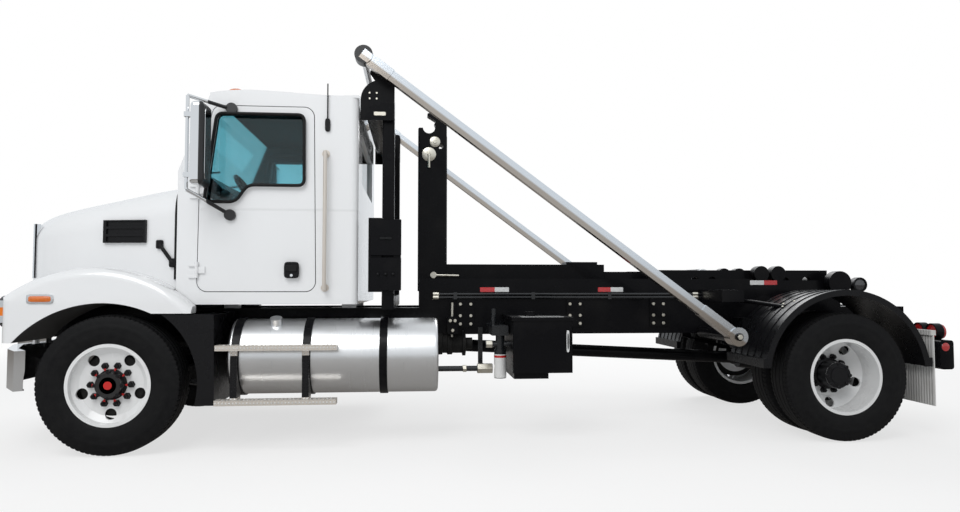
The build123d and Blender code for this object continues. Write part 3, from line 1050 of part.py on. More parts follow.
# Pivot shafts of the tarp arms, on stub brackets off the rails, with a box beam behind each
with BuildPart() as arm_pivots:
    for side in SIDES:
        bar((ARM_PIVOT[0], side * RAIL_OUT, ARM_PIVOT[1]), (ARM_PIVOT[0], side * (ARM_Y + 70), ARM_PIVOT[1]), ARM_PIN_R)
        bar((ARM_PIVOT[0], side * RAIL_OUT, ARM_PIVOT[1]), (ARM_PIVOT[0], side * (ARM_Y - 65), ARM_PIVOT[1]), 50)
        block((ARM_BOX_X, ARM_BOX_X + 187), (side * SUB_OUT, side * 900), (RAIL_Z1 + 54, RAIL_Z1 + 153))
arm_pivots.part.label = "arm_pivots"
export_step(arm_pivots.part, "parts/arm_pivots.step")
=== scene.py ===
import math

import bmesh
import bpy
import numpy as np
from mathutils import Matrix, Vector


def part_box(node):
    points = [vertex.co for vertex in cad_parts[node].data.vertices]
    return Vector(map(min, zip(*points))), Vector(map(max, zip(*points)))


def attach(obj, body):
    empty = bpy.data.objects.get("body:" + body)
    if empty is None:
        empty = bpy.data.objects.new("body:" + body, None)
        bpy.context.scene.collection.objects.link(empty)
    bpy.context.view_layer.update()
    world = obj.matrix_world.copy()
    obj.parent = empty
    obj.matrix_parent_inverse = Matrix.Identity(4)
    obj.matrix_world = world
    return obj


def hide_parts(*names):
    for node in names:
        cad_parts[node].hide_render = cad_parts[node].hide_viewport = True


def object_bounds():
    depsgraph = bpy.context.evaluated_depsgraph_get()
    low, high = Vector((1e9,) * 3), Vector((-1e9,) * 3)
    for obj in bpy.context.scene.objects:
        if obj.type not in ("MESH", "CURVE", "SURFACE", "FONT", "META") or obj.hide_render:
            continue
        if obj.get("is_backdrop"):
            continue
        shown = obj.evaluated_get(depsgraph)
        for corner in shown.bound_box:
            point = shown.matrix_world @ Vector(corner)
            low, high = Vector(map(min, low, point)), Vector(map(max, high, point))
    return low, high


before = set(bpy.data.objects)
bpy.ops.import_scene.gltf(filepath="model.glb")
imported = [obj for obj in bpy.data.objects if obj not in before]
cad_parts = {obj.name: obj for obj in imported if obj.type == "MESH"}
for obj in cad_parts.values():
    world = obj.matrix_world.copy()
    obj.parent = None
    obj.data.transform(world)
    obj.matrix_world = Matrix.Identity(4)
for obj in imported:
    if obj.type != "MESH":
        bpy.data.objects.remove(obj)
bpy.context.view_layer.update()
bpy.context.view_layer.update()


# Chassis, axles and hook lift: pressed and welded steel, shot-blasted and sprayed gloss black.
# The paint keeps a fine orange peel, and a little road dust dulls it in patches.
class Field:
    """One shader socket. Its operators add Math nodes, so a mask is written as arithmetic."""

    def __init__(self, finish, socket):
        self.finish = finish
        self.socket = socket

    def math(self, operation, *terms):
        return self.finish.node("ShaderNodeMath", {"operation": operation}, dict(enumerate(terms)))

    def __add__(self, other):
        return self.math("ADD", self, other)

    def __sub__(self, other):
        return self.math("SUBTRACT", self, other)

    def __rsub__(self, other):
        return self.math("SUBTRACT", other, self)

    def __mul__(self, other):
        return self.math("MULTIPLY", self, other)

    def __gt__(self, edge):
        return self.math("GREATER_THAN", self, edge)

    def __lt__(self, edge):
        return self.math("LESS_THAN", self, edge)

    def __abs__(self):
        return self.math("ABSOLUTE", self)

    __radd__ = __add__
    __rmul__ = __mul__

    def most(self, other):
        """The larger of the two."""
        return self.math("MAXIMUM", self, other)

    def wave(self, length):
        """sin(2 pi v / length), a row of even ridges."""
        return self.math("SINE", self * (2 * math.pi / length))

    def ramp(self, low, high):
        """0 up to low, 1 from high on, with a smooth step between."""
        sockets = {"Value": self, "From Min": low, "From Max": high}
        return self.finish.node("ShaderNodeMapRange", {"interpolation_type": "SMOOTHSTEP"}, sockets)


class Finish:
    """A material in the making: its Principled shader, the nodes that feed it and its slot in the record."""

    def __init__(self, name, slot=None, **fixed):
        self.slot = slot
        self.material = bpy.data.materials.new(name)
        self.material.use_nodes = True
        self.tree = self.material.node_tree
        self.shader = self.tree.nodes["Principled BSDF"]
        self.paint(**fixed)

    def feed(self, node, sockets):
        """Links a Field to each socket, or sets its value. A colour is three numbers."""
        for key, value in sockets.items():
            socket = node.inputs[key]
            if isinstance(value, Field):
                self.tree.links.new(value.socket, socket)
            else:
                socket.default_value = (*value, 1) if socket.type == "RGBA" else value

    def node(self, kind, settings=None, sockets=None, output=0):
        """Adds one node: its settings first, then the values or links of its sockets."""
        made = self.tree.nodes.new(kind)
        for key, value in (settings or {}).items():
            setattr(made, key, value)
        self.feed(made, sockets or {})
        return Field(self, made.outputs[output])

    def place(self, stretch=(1, 1, 1)):
        """Object coordinates in metres, stretched along each axis."""
        here = self.node("ShaderNodeTexCoord", output=3)
        return self.node("ShaderNodeMapping", {}, {"Vector": here, "Scale": stretch})

    def along(self, axis):
        """One object coordinate, 0 for X, 1 for Y, 2 for Z."""
        return self.node("ShaderNodeSeparateXYZ", {}, {"Vector": self.place()}, output=axis)

    def noise(self, scale, detail=2.0, stretch=(1, 1, 1)):
        sockets = {"Vector": self.place(stretch), "Scale": scale, "Detail": detail}
        return self.node("ShaderNodeTexNoise", {}, sockets)

    def mix(self, factor, first, second):
        sockets = {0: factor, 6: first, 7: second}
        return self.node("ShaderNodeMix", {"data_type": "RGBA"}, sockets, output=2)

    def paint(self, **sockets):
        self.feed(self.shader, {key.replace("_", " "): value for key, value in sockets.items()})

    def blend(self, factor, first, second, **sockets):
        """Paints the base colour between two colours, and the other sockets as named."""
        self.paint(Base_Color=self.mix(factor, first, second), **sockets)

    def bump(self, height, depth):
        raised = self.node("ShaderNodeBump", {}, {"Height": height, "Distance": depth})
        self.feed(self.shader, {"Normal": raised})


def dress(finish, *names):
    """Gives CAD nodes their finish."""
    for name in names:
        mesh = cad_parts[name].data
        mesh.materials.clear()
        mesh.materials.append(finish.material)


chassis_black = Finish("chassis_black", "black_paint", Specular_IOR_Level=0.08)
chassis_black.paint(Coat_Weight=0.05, Coat_Roughness=0.06)
patches = chassis_black.noise(3.5, 4.0).ramp(0.45, 0.8)
chassis_black.blend(
    patches * 0.3, (0.004, 0.004, 0.005), (0.02, 0.019, 0.018),
    Roughness=0.26 + 0.16 * patches,
)
chassis_black.bump(chassis_black.noise(320), 0.0003)
dress(chassis_black, "frame", "front_axle", "rear_axle", "knuckle_left", "knuckle_right", "springs",
      "tank_straps", "hydraulic_tank", "rear_bumper", "subframe", "tilt_frame", "boom", "jib", "lift_barrels",
      "tarp_tower", "arm_pivots", "side_box")

# Engine and gearbox: iron castings under dull engine paint, bolted between the rails on rubber mounts.
# They show only from below and through the wheel arches.
BLACK = (0.006, 0.006, 0.007)
cast_paint = Finish("cast_paint", "black_paint", Specular_IOR_Level=0.15)
grit = cast_paint.noise(45, 5.0)
cast_paint.blend(grit, BLACK, (0.025, 0.024, 0.022), Roughness=0.55 + 0.2 * grit)
cast_paint.bump(grit, 0.004)
dress(cast_paint, "engine")

# Cylinder rods: ground steel with hard chrome, wiped bright by the seals of the barrels that they slide in.
# Each ends in an eye on a pin of the tilt frame.
rod_chrome = Finish("rod_chrome", Metallic=1.0, Base_Color=(0.72, 0.73, 0.74))
rod_chrome.paint(Roughness=0.08 + 0.1 * rod_chrome.noise(60, stretch=(0.05, 1, 1)))
dress(rod_chrome, "lift_rods")

# Tyres: steel-belted radials moulded in black rubber, their beads seated on the rims. Four grooves run round
# the tread, the shoulders are cut across, and fine rings stand on the walls.
TURNED_GRID, ENDLESS_GRID = (True, False), (True, True)


def surface(name, points, finish, body="chassis", closed=(False, True), crease=40.0):
    """A piece from a grid of points, (rows, columns, 3) or (copies, rows, columns, 3), with a face to each
    four neighbours. closed says whether its rows, and its columns, run on into the first."""
    grids = points if points.ndim == 4 else points[None]
    copies, rows, columns = grids.shape[:3]
    index = np.arange(rows * columns).reshape(rows, columns)
    if closed[0]:
        index = np.concatenate([index, index[:1]], axis=0)
    if closed[1]:
        index = np.concatenate([index, index[:, :1]], axis=1)
    corners = [index[:-1, :-1], index[:-1, 1:], index[1:, 1:], index[1:, :-1]]
    faces = np.stack(corners, axis=-1).reshape(-1, 4)
    faces = (faces[None] + rows * columns * np.arange(copies)[:, None, None]).reshape(-1, 4)
    mesh = bpy.data.meshes.new(name)
    mesh.from_pydata(grids.reshape(-1, 3), [], faces)
    welded = bmesh.new()
    welded.from_mesh(mesh)
    bmesh.ops.remove_doubles(welded, verts=welded.verts, dist=1e-6)
    bmesh.ops.recalc_face_normals(welded, faces=welded.faces)
    welded.to_mesh(mesh)
    welded.free()
    mesh.polygons.foreach_set("use_smooth", np.ones(len(mesh.polygons), bool))
    mesh.set_sharp_from_angle(angle=math.radians(crease))
    mesh.materials.append(finish.material)
    piece = bpy.data.objects.new(name, mesh)
    bpy.context.scene.collection.objects.link(piece)
    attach(piece, body)
    return piece


def turned(radius, out, centre, side, steps):
    """A profile turned about the axle: x = radius cos a, z = radius sin a, y = side * out."""
    angle = np.linspace(0, 2 * math.pi, steps, endpoint=False)[:, None]
    radius, out = np.asarray(radius), np.asarray(out)
    rows = [radius * np.cos(angle), side * out + 0 * angle, radius * np.sin(angle)]
    return np.array(centre) + np.stack(rows, axis=-1)


tyre_low, tyre_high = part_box("tyre_front_left")
TYRE_RADIUS, TYRE_HALF_WIDTH = (tyre_high.x - tyre_low.x) / 2, (tyre_high.y - tyre_low.y) / 2
INSET = 0.0005
BEAD_RADIUS, BEAD_HALF, WALL_ROWS = 0.290, 0.108, 34
WALL_RINGS, RING_HALF, RING_HEIGHT = (0.1, 0.16, 0.62, 0.68), 0.02, 0.0016
TREAD_HALF, TREAD_ROWS, CROWN, SHOULDER_DROP = 0.122, 15, 0.008, 0.012
GROOVES, GROOVE_HALF, GROOVE_DEPTH = (0.028, 0.078), 0.005, 0.014
LUGS_ROUND, LUG_STEPS, LUG_DEPTH, LUG_REACH = 84, 4, 0.006, 0.035
TYRE_STEPS = LUG_STEPS * LUGS_ROUND


def tyre_points(centre, side):
    """Wall: out = bead + bulge * sin(pi t^0.85)^0.8, radius from bead to shoulder over t. Tread: a shallow
    crown less its grooves, with the shoulder sunk at one of each four steps round."""
    t = np.linspace(0, 1, WALL_ROWS)
    wall_out = BEAD_HALF + (TYRE_HALF_WIDTH - INSET - BEAD_HALF) * np.sin(math.pi * t**0.85) ** 0.8
    wall_out = np.minimum(wall_out + (TREAD_HALF - BEAD_HALF) * t**3, TYRE_HALF_WIDTH)
    wall_radius = BEAD_RADIUS + (TYRE_RADIUS - SHOULDER_DROP - BEAD_RADIUS) * t
    on_ring = (np.abs(t[:, None] - WALL_RINGS) < RING_HALF).any(axis=1)
    wall_out = wall_out - RING_HEIGHT + RING_HEIGHT * on_ring
    edges = np.array(GROOVES)[:, None] + GROOVE_HALF * np.array([-1.0, -0.8, 0.8, 1.0])
    tread_out = np.unique(np.concatenate([edges.ravel(), np.linspace(0, TREAD_HALF, TREAD_ROWS)]))[::-1]
    sunk = (np.abs(tread_out[:, None] - np.array(GROOVES)) < 0.9 * GROOVE_HALF).any(axis=1)
    tread_radius = TYRE_RADIUS - INSET - CROWN * (tread_out / TREAD_HALF) ** 4 - GROOVE_DEPTH * sunk
    out = np.concatenate([wall_out, tread_out])
    radius = np.concatenate([wall_radius, tread_radius])
    out = np.concatenate([out, -out[::-1]])
    radius = np.concatenate([radius, radius[::-1]])
    shoulder = (np.abs(out) > GROOVES[1] + GROOVE_HALF) & (radius > TYRE_RADIUS - LUG_REACH)
    cut = (np.arange(TYRE_STEPS) % LUG_STEPS == 0)[:, None] & shoulder
    return turned(radius - LUG_DEPTH * cut, out, centre, side, TYRE_STEPS)


DEEP_BLACK, WORN_BLACK = (0.005, 0.005, 0.006), (0.014, 0.014, 0.014)
rubber = Finish("tyre_rubber", "tyre", Specular_IOR_Level=0.09)
scuff = rubber.noise(22, 5.0)
rubber.blend(scuff, DEEP_BLACK, WORN_BLACK, Roughness=0.42 + 0.25 * scuff)
rubber.bump(rubber.noise(500), 0.0006)
AXLE_HEIGHT = TYRE_RADIUS
WHEELS = (
    # body, side, how many tyres
    ("wheel_front_left", -1, 1),
    ("wheel_front_right", 1, 1),
    ("wheels_rear_left", -1, 2),
    ("wheels_rear_right", 1, 2),
)
for body, side, tyres in WHEELS:
    tyre_node = body.replace("wheel", "tyre")
    low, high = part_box(tyre_node)
    middles = (low.y + TYRE_HALF_WIDTH, high.y - TYRE_HALF_WIDTH)[:tyres]
    casings = [tyre_points(((low.x + high.x) / 2, middle, AXLE_HEIGHT), side) for middle in middles]
    casing = surface(body + "_rubber", np.stack(casings), rubber, body, ENDLESS_GRID, crease=28)
    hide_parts(tyre_node)


# Wheel discs: pressed steel sprayed gloss white, on a black hub. Ten nuts hold each disc, with a red pointer
# on every front nut, and the hub's cap is bolted round its edge.
def ring(centre, half, power=2.0, steps=24):
    """A closed line in the plane of its two half sizes: centre + half * (cos a, sin a), both to the power
    2 / power, so it is round at power 2 and squarer above."""
    angle = np.linspace(0, 2 * math.pi, steps, endpoint=False)
    turn = np.stack([np.cos(angle), np.sin(angle)], axis=1)
    spread = np.zeros((steps, 3))
    spread[:, np.flatnonzero(half)] = np.sign(turn) * np.abs(turn) ** (2 / power)
    return np.asarray(centre, float)[..., None, :] + spread * half


def disc(centre, radius, steps=24):
    """A round ring, upright along the truck."""
    return ring(centre, (radius, 0, radius), steps=steps)


def plate(outline, way, thick, bevel=0.001):
    """A ring raised along a direction: rows go back's centre, edge, edge, drawn-in edge, front's centre."""
    middle = outline.mean(axis=-2, keepdims=True) + 0 * outline
    spread = outline - middle
    drawn = middle + spread * (1 - bevel / np.linalg.norm(spread, axis=-1, keepdims=True))
    rows = [middle, outline, outline + (thick - bevel) * way, drawn + thick * way, middle + thick * way]
    return np.stack(rows, axis=-3)


def spokes(count):
    """Unit steps round the axle, (count, 3) each: outward from it, and along its circle."""
    angle = np.linspace(0, 2 * math.pi, count, endpoint=False)[:, None]
    outward = np.concatenate([np.cos(angle), 0 * angle, np.sin(angle)], axis=1)
    along = np.concatenate([-np.sin(angle), 0 * angle, np.cos(angle)], axis=1)
    return outward, along


def wheel_centre(body, side, out):
    """The point on a wheel's axis that lies a distance out from its rim's outer edge."""
    low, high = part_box(body.replace("wheel", "rim"))
    return np.array([(low.x + high.x) / 2, (high.y if side > 0 else low.y) + side * out, AXLE_HEIGHT])


FRONT_AXLE = (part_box("front_axle")[0].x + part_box("front_axle")[1].x) / 2
RIM_OUT, DISC_DEPTH, HUB_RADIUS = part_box("rim_front_right")[1].y, 0.075, 0.112
wheel_white = Finish("wheel_white", Coat_Weight=0.6, Coat_Roughness=0.08)
brake_dust = wheel_white.noise(9, 4.0).ramp(0.5, 0.85)
behind, above = wheel_white.along(0) - FRONT_AXLE, wheel_white.along(2) - AXLE_HEIGHT
hub = (behind * behind + above * above) < HUB_RADIUS**2
# Painted shade: on the front wheels the rim's barrel, inboard of the disc, is painted black, as the shade
# seen through the hand holes.
painted_barrel_shade = (abs(wheel_white.along(1)) < RIM_OUT - DISC_DEPTH) * (behind < 1.0)
clean = wheel_white.mix(brake_dust * 0.3, (0.8, 0.805, 0.805), (0.55, 0.54, 0.52))
wheel_white.blend(hub.most(painted_barrel_shade), clean, BLACK, Roughness=0.25 + 0.15 * brake_dust)
dress(wheel_white, "rim_front_left", "rim_front_right", "rims_rear_left", "rims_rear_right")

hub_black = Finish("hub_black", "black_paint", Base_Color=DEEP_BLACK, Specular_IOR_Level=0.2, Coat_Weight=0.1)
hub_black.paint(Roughness=0.32 + 0.2 * hub_black.noise(70))
pointer_red = Finish("pointer_red", "red_lens", Base_Color=(0.55, 0.012, 0.01))
pointer_red.paint(Roughness=0.35 + 0.15 * pointer_red.noise(200))
NUTS, NUT_CIRCLE = 10, 0.143
NUT_RADIUS = (0, 0.012, 0.013, 0.013, 0.019, 0.021, 0.021, 0.026, 0.026, 0)
NUT_OUT = (0.046, 0.046, 0.044, 0.032, 0.032, 0.029, 0.006, 0.005, 0.0, 0.0)
POINTER_CIRCLE, POINTER_OUT, POINTER_THICK = NUT_CIRCLE - 0.03, 0.024, 0.009
POINTER = ((0.012, 0.01), (0.012, -0.01), (-0.006, -0.003), (-0.006, 0.003))
CAP_BOLTS, CAP_BOLT_CIRCLE, CAP_BOLT_RADIUS, CAP_BOLT_LONG, CAP_BOLT_SUNK = 8, 0.094, 0.014, 0.03, 0.02
CAP_EDGE, CAP_RADIUS = 5, 0.03
HUBS = {
    # how many tyres: disc's outer face from the rim's outer edge, hub radii, hub distances out from the disc
    1: (-0.067, (0, HUB_RADIUS, HUB_RADIUS, 0.096, 0.096, 0.088, 0.062, 0.060, 0),
        (0, 0, 0.008, 0.012, 0.046, 0.058, 0.062, 0.066, 0.066)),
    2: (-0.262, (0, 0.128, 0.128, 0.109, 0.109, 0.1, 0.07, 0.068, 0),
        (0, 0, 0.012, 0.018, 0.14, 0.158, 0.16, 0.165, 0.165)),
}
for body, side, tyres in WHEELS:
    sunk, radii, outs = HUBS[tyres]
    centre, way = wheel_centre(body, side, sunk), np.array((0, side, 0))
    hub_points = turned(radii, outs, centre, side, 48)
    surface(body + "_hub", hub_points, hub_black, body, TURNED_GRID)
    outward, along = spokes(NUTS)
    nut = turned(NUT_RADIUS, NUT_OUT, (0, 0, 0), side, 6)
    nuts = (centre + NUT_CIRCLE * outward)[:, None, None] + nut
    surface(body + "_nuts", nuts, hub_black, body, TURNED_GRID, crease=25)
    feet = centre + CAP_BOLT_CIRCLE * spokes(CAP_BOLTS)[0] + (outs[CAP_EDGE] - CAP_BOLT_SUNK) * way
    bolts = plate(disc(feet, CAP_BOLT_RADIUS, 10), way, CAP_BOLT_LONG, 0.003)
    surface(body + "_cap_bolts", bolts, hub_black, body)
    if tyres == 1:
        corners = np.stack([out * outward + across * along for out, across in POINTER], axis=1)
        pointers = (centre + POINTER_CIRCLE * outward + POINTER_OUT * way)[:, None] + corners
        surface(body + "_pointers", plate(pointers, way, POINTER_THICK), pointer_red, body)
        cap = disc(centre + outs[-1] * way, CAP_RADIUS)
        surface(body + "_cap", plate(cap, way, 0.0025), pointer_red, body)

# Brake drums: grey iron castings painted black, bolted to each hub behind its disc, with a cooling rib
# round them. They show through the discs' hand holes.
DRUM_RADIUS = (0, 0.225, 0.232, 0.232, 0.225, 0.225, 0.232, 0.232, 0.2, 0)
DRUM_OUT = (0, 0, -0.005, -0.02, -0.025, -0.1, -0.105, -0.125, -0.13, -0.13)
DRUM_BEHIND = {1: 0.024, 2: 0.05}
for body, side, tyres in WHEELS:
    centre = wheel_centre(body, side, HUBS[tyres][0] - DRUM_BEHIND[tyres])
    drum = turned(DRUM_RADIUS, DRUM_OUT, centre, side, 56)
    surface(body + "_drum", drum, cast_paint, body, TURNED_GRID, crease=30)

# Hydraulic fittings: zinc-plated nuts on the black steel tubes along the frame, a valve with its spool and
# ports, the mast's lock lever on its eye, and a white spin-on filter canister screwed under its head.
LEFT, RIGHT, REAR, UP, DOWN = np.array([(0, -1, 0), (0, 1, 0), (1, 0, 0), (0, 0, 1), (0, 0, -1)], float)


def at(points):
    """Places given along the truck from its front axle, across it from the middle and up from the floor."""
    return np.asarray(points, float) + (FRONT_AXLE, 0, 0)


def touch(node, start, way):
    """The point of a CAD node first met from a start along a direction, sunk a little to seat a piece."""
    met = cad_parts[node].ray_cast(Vector(at(start)), Vector(way))[1]
    return np.array(met) + INSET * way


def unit(steps):
    """Each step divided by its own length."""
    return steps / np.linalg.norm(steps, axis=-1, keepdims=True)


def bent(points, radius, closed=False, steps=7):
    """Straight runs, corners rounded: (1-t)^2 a + 2t(1-t) p + t^2 b, a and b a radius from corner p."""
    path = np.asarray(points, float)
    corners = path if closed else path[1:-1]
    before = np.roll(path, 1, 0) if closed else path[:-2]
    after = np.roll(path, -1, 0) if closed else path[2:]
    a = corners + radius * unit(before - corners)
    b = corners + radius * unit(after - corners)
    t = np.linspace(0, 1, steps)[:, None]
    arcs = (1 - t) ** 2 * a[:, None] + 2 * t * (1 - t) * corners[:, None] + t**2 * b[:, None]
    arcs = arcs.reshape(-1, 3)
    return arcs if closed else np.concatenate([path[:1], arcs, path[-1:]])


def tube(path, radius, closed=False, lean=RIGHT, around=12):
    """A round section carried along a path: p + radius (u cos a + v sin a), u and v square to the path."""
    ahead = np.roll(path, -1, 0) - np.roll(path, 1, 0) if closed else np.gradient(path, axis=0)
    u = unit(np.cross(ahead, lean))
    v = unit(np.cross(u, ahead))
    angle = np.linspace(0, 2 * math.pi, around, endpoint=False)[None, :, None]
    rows = path[:, None] + radius * (u[:, None] * np.cos(angle) + v[:, None] * np.sin(angle))
    if closed:
        return rows
    ends = np.broadcast_to(path[[0, -1], None], (2, around, 3))
    return np.concatenate([ends[:1], rows, ends[1:]])


def both_sides(points):
    """The left-hand piece and its mirror image on the right."""
    grids = points if points.ndim == 4 else points[None]
    return np.concatenate([grids, grids * (1, -1, 1)])


zinc = Finish("zinc_plate", "steel", Metallic=1.0)
bloom = zinc.noise(18, 4.0)
zinc.blend(bloom, (0.62, 0.58, 0.47), (0.76, 0.74, 0.68), Roughness=0.24 + 0.22 * bloom)
tube_black = Finish("tube_black", Specular_IOR_Level=0.3, Coat_Weight=0.6, Coat_Roughness=0.1)
tube_black.blend(
    tube_black.noise(9), (0.006, 0.007, 0.008), (0.018, 0.02, 0.023),
    Roughness=0.22 + 0.1 * tube_black.noise(40),
)
dress(tube_black, "hydraulic_lines")
CANISTER, CANISTER_RADIUS, CANISTER_TALL = (2.888, -0.88, 0.50), 0.0495, 0.19
BAND_HEIGHT, BAND_HALF = 0.668, 0.009
canister_white = Finish("canister_white", Coat_Weight=0.4)
red_band = abs(canister_white.along(2) - BAND_HEIGHT) < BAND_HALF
canister_white.blend(
    red_band, (0.74, 0.74, 0.73), (0.5, 0.015, 0.012),
    Roughness=0.3 + 0.1 * canister_white.noise(30),
)
can = plate(ring(at(CANISTER), (CANISTER_RADIUS, CANISTER_RADIUS, 0), steps=40), UP, CANISTER_TALL, 0.006)
surface("filter_canister", can, canister_white)
FITTINGS = (
    # place of each nut along the truck, across it and up, length along the truck, radius
    *((x, -0.452, z, 0.05, 0.017) for x in (2.36, 4.66) for z in (1.133, 1.161)),
    (2.72, -0.70, 0.552, 0.125, 0.043),
    (2.60, -0.70, 0.552, 0.03, 0.030),
    (2.775, -0.88, 0.765, 0.05, 0.031),
)
nuts = [plate(ring(at(row[:3]), (0, row[4], row[4]), steps=6), REAR, row[3], 0.003) for row in FITTINGS]
surface("hydraulic_nuts", np.stack(nuts), zinc, crease=25)
VALVE_X, VALVE_FACE, VALVE_DEEP, PORT_RADIUS = 2.52, -0.60, 0.18, 0.015
valve = ring(at((VALVE_X, VALVE_FACE, 0.90)), (0.045, 0, 0.075), 6, 32)
surface("valve_body", plate(valve, RIGHT, VALVE_DEEP, 0.008), chassis_black)
spool = at([(VALVE_X, -0.53, z) for z in (0.8, 0.9, 1.04, 1.09)])
surface("valve_spool", tube(spool, 0.012), zinc)
ports = at([(x, VALVE_FACE + 0.001, z) for x, z in ((2.5, 0.94), (2.54, 0.94), (VALVE_X, 0.86))])
ports = plate(disc(ports, PORT_RADIUS, 6), LEFT, 0.03, 0.003)
surface("valve_ports", ports, zinc, crease=25)
LEVER_X, LEVER_HEIGHT, LEVER_RADIUS, EYE_RADIUS = 2.37, 1.33, 0.011, 0.03
lever = at([(LEVER_X, -0.131, LEVER_HEIGHT), (LEVER_X, -0.15, LEVER_HEIGHT), (2.60, -0.15, 1.325)])
surface("lock_lever", tube(bent(lever, 0.012), LEVER_RADIUS, lean=UP), zinc, "jib")
eye = disc(at((LEVER_X, -0.126, LEVER_HEIGHT)), EYE_RADIUS)
surface("lock_lever_eye", plate(eye, LEFT, 0.035, 0.004), zinc, "jib")

# Oil pump: a finned iron casting, turned by the gearbox. It hangs on a steel plate that is bolted to the
# frame's lower flange.
PUMP_RADIUS = (0, 0.06, 0.075, 0.095, 0.095, 0.082, 0.082, 0.095, 0.095, 0.082, 0.082,
               0.105, 0.105, 0.05, 0.05, 0)
PUMP_ALONG = (0, 0, 0.01, 0.03, 0.08, 0.085, 0.12, 0.125, 0.165, 0.17, 0.25, 0.255, 0.28, 0.285, 0.34, 0.34)
pump = turned(PUMP_RADIUS, PUMP_ALONG, (0, 0, 0), 1, 40)[..., [1, 0, 2]] + at((2.36, -0.40, 0.735))
surface("oil_pump", pump, cast_paint, "chassis", TURNED_GRID, crease=30)
hanger = plate(ring(at((2.61, -0.40, 0.76)), (0, 0.09, 0.1), 8, 32), REAR, 0.016, 0.003)
surface("pump_hanger", hanger, chassis_black)

# Bolts and tape along the frame: zinc bolt heads hold the plates between subframe and rail, and strips of
# red and white reflecting sheet are stuck on the rail's side.
tape_red = Finish("tape_red", Base_Color=(0.58, 0.012, 0.016), Coat_Weight=0.8)
tape_white = Finish("tape_white", Base_Color=(0.74, 0.75, 0.75), Coat_Weight=0.8)
for tape in (tape_red, tape_white):
    cells = tape.along(0).wave(0.006) * tape.along(2).wave(0.006)
    tape.paint(Roughness=0.22 + 0.1 * cells)
    tape.bump(cells, 0.0003)
PLATES, PLATE_FACE, BOLT_RADIUS = (2.64, 3.60, 4.35), -0.4435, 0.015
BOLT_COLUMNS, BOLT_ROWS = (-0.045, 0.045), (0.905, 0.975, 1.075)
heads = at([(x + column, PLATE_FACE, z) for x in PLATES for z in BOLT_ROWS for column in BOLT_COLUMNS])
heads = plate(disc(heads, BOLT_RADIUS, 6), LEFT, 0.011, 0.002)
surface("plate_bolts", both_sides(heads), zinc, crease=25)
RAIL_FACE, TAPE_HALF, TAPE_THICK = -0.4295, 0.02, 0.0016
TAPES = (
    # finish, start and end along the truck, height
    (tape_red, 2.767, 2.895, 1.2),
    (tape_white, 2.895, 3.02, 1.2),
    (tape_red, 3.811, 3.925, 1.2),
    (tape_white, 3.925, 4.037, 1.2),
    (tape_white, 5.207, 5.338, 1.262),
    (tape_red, 5.338, 5.461, 1.262),
)
for count, (tape, start, end, height) in enumerate(TAPES):
    strip = ring(at(((start + end) / 2, RAIL_FACE, height)), ((end - start) / 2, 0, TAPE_HALF), 20, 40)
    surface("tape_%d" % count, both_sides(plate(strip, LEFT, TAPE_THICK, 0.0004)), tape)

# Cab, doors and hood: pressed steel and moulded panels in gloss white under clear lacquer, on rubber mounts
# and hinges. The cab is lined inside with dark moulded trim and a grained headliner.
wall_low, wall_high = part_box("cab_side_left")
CAB_FRONT, CAB_REAR, CAB_FLOOR, DOOR_FACE = wall_low.x, wall_high.x, wall_low.z, wall_low.y
ROOF_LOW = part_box("cab_roof")[0].z
SKIN, TRIM_HALF = 0.03, 1.03
ARCH_RADIUS, ARCH_HALF = 0.74, 1.183
BELT_LINE, BELT_HALF, BELT_FROM = 1.811, 0.012, 0.15
cab_white = Finish("cab_white", Coat_Roughness=0.03)
x, across, z = cab_white.along(0), abs(cab_white.along(1)), cab_white.along(2)
behind, above = x - FRONT_AXLE, z - AXLE_HEIGHT
arch = (behind * behind + above * above < ARCH_RADIUS**2) * (across < ARCH_HALF) * (x < CAB_FRONT)
lining = (x > CAB_FRONT + SKIN) * (x < CAB_REAR - SKIN) * (across < TRIM_HALF)
lining = lining * (z > CAB_FLOOR + SKIN) * (z < ROOF_LOW + 0.002)
inside = lining.most(arch)
cab_white.blend(
    inside, (0.83, 0.84, 0.85), (0.012, 0.012, 0.013),
    Roughness=0.24 + 0.03 * cab_white.noise(2.5) + 0.4 * inside,
    Coat_Weight=1.0 - inside,
)
belt = z.ramp(BELT_LINE - BELT_HALF, BELT_LINE + BELT_HALF) * (x > CAB_FRONT + BELT_FROM)
peel, grain = cab_white.noise(90) * (1 - inside), cab_white.noise(260, 3.0) * inside
cab_white.bump(peel * 0.1 + grain + belt * 4.0, 0.0009)
dress(cab_white, "hood", "cab_floor", "cab_firewall", "cab_side_left", "cab_side_right", "cab_back",
      "cab_roof", "door_left", "door_right")

# Front bumper and grille: steel bent to shape, polished and chrome plated. The bumper is bolted to the rails'
# ends and the grille is screwed into the hood's nose. The dark line at each of the grille's ends is painted
# on, after a reflection in the photograph.
CHROME = (0.76, 0.77, 0.78)
bumper_chrome = Finish("bumper_chrome", "bumper_chrome", Metallic=1.0, Base_Color=CHROME)
bumper_chrome.paint(Roughness=0.07 + 0.1 * bumper_chrome.noise(4, 4.0).ramp(0.4, 0.9))
dress(bumper_chrome, "front_bumper")
GRILLE_END, GRILLE_HALF = FRONT_AXLE - 0.866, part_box("grille")[1].y
LINE_HALF, LINE_DEEP = 0.006, 0.03
grille_chrome = Finish("grille_chrome", Metallic=1.0)
near_end = abs(grille_chrome.along(1)) > GRILLE_HALF - LINE_DEEP
# Painted reflection: a thin dark line is painted down each end of the grille.
painted_dark_reflection = (abs(grille_chrome.along(0) - GRILLE_END) < LINE_HALF) * near_end
grille_chrome.blend(
    painted_dark_reflection, (0.7, 0.72, 0.74), (0.012, 0.012, 0.014),
    Roughness=0.08 + 0.1 * grille_chrome.noise(4, 4.0),
)
dress(grille_chrome, "grille")

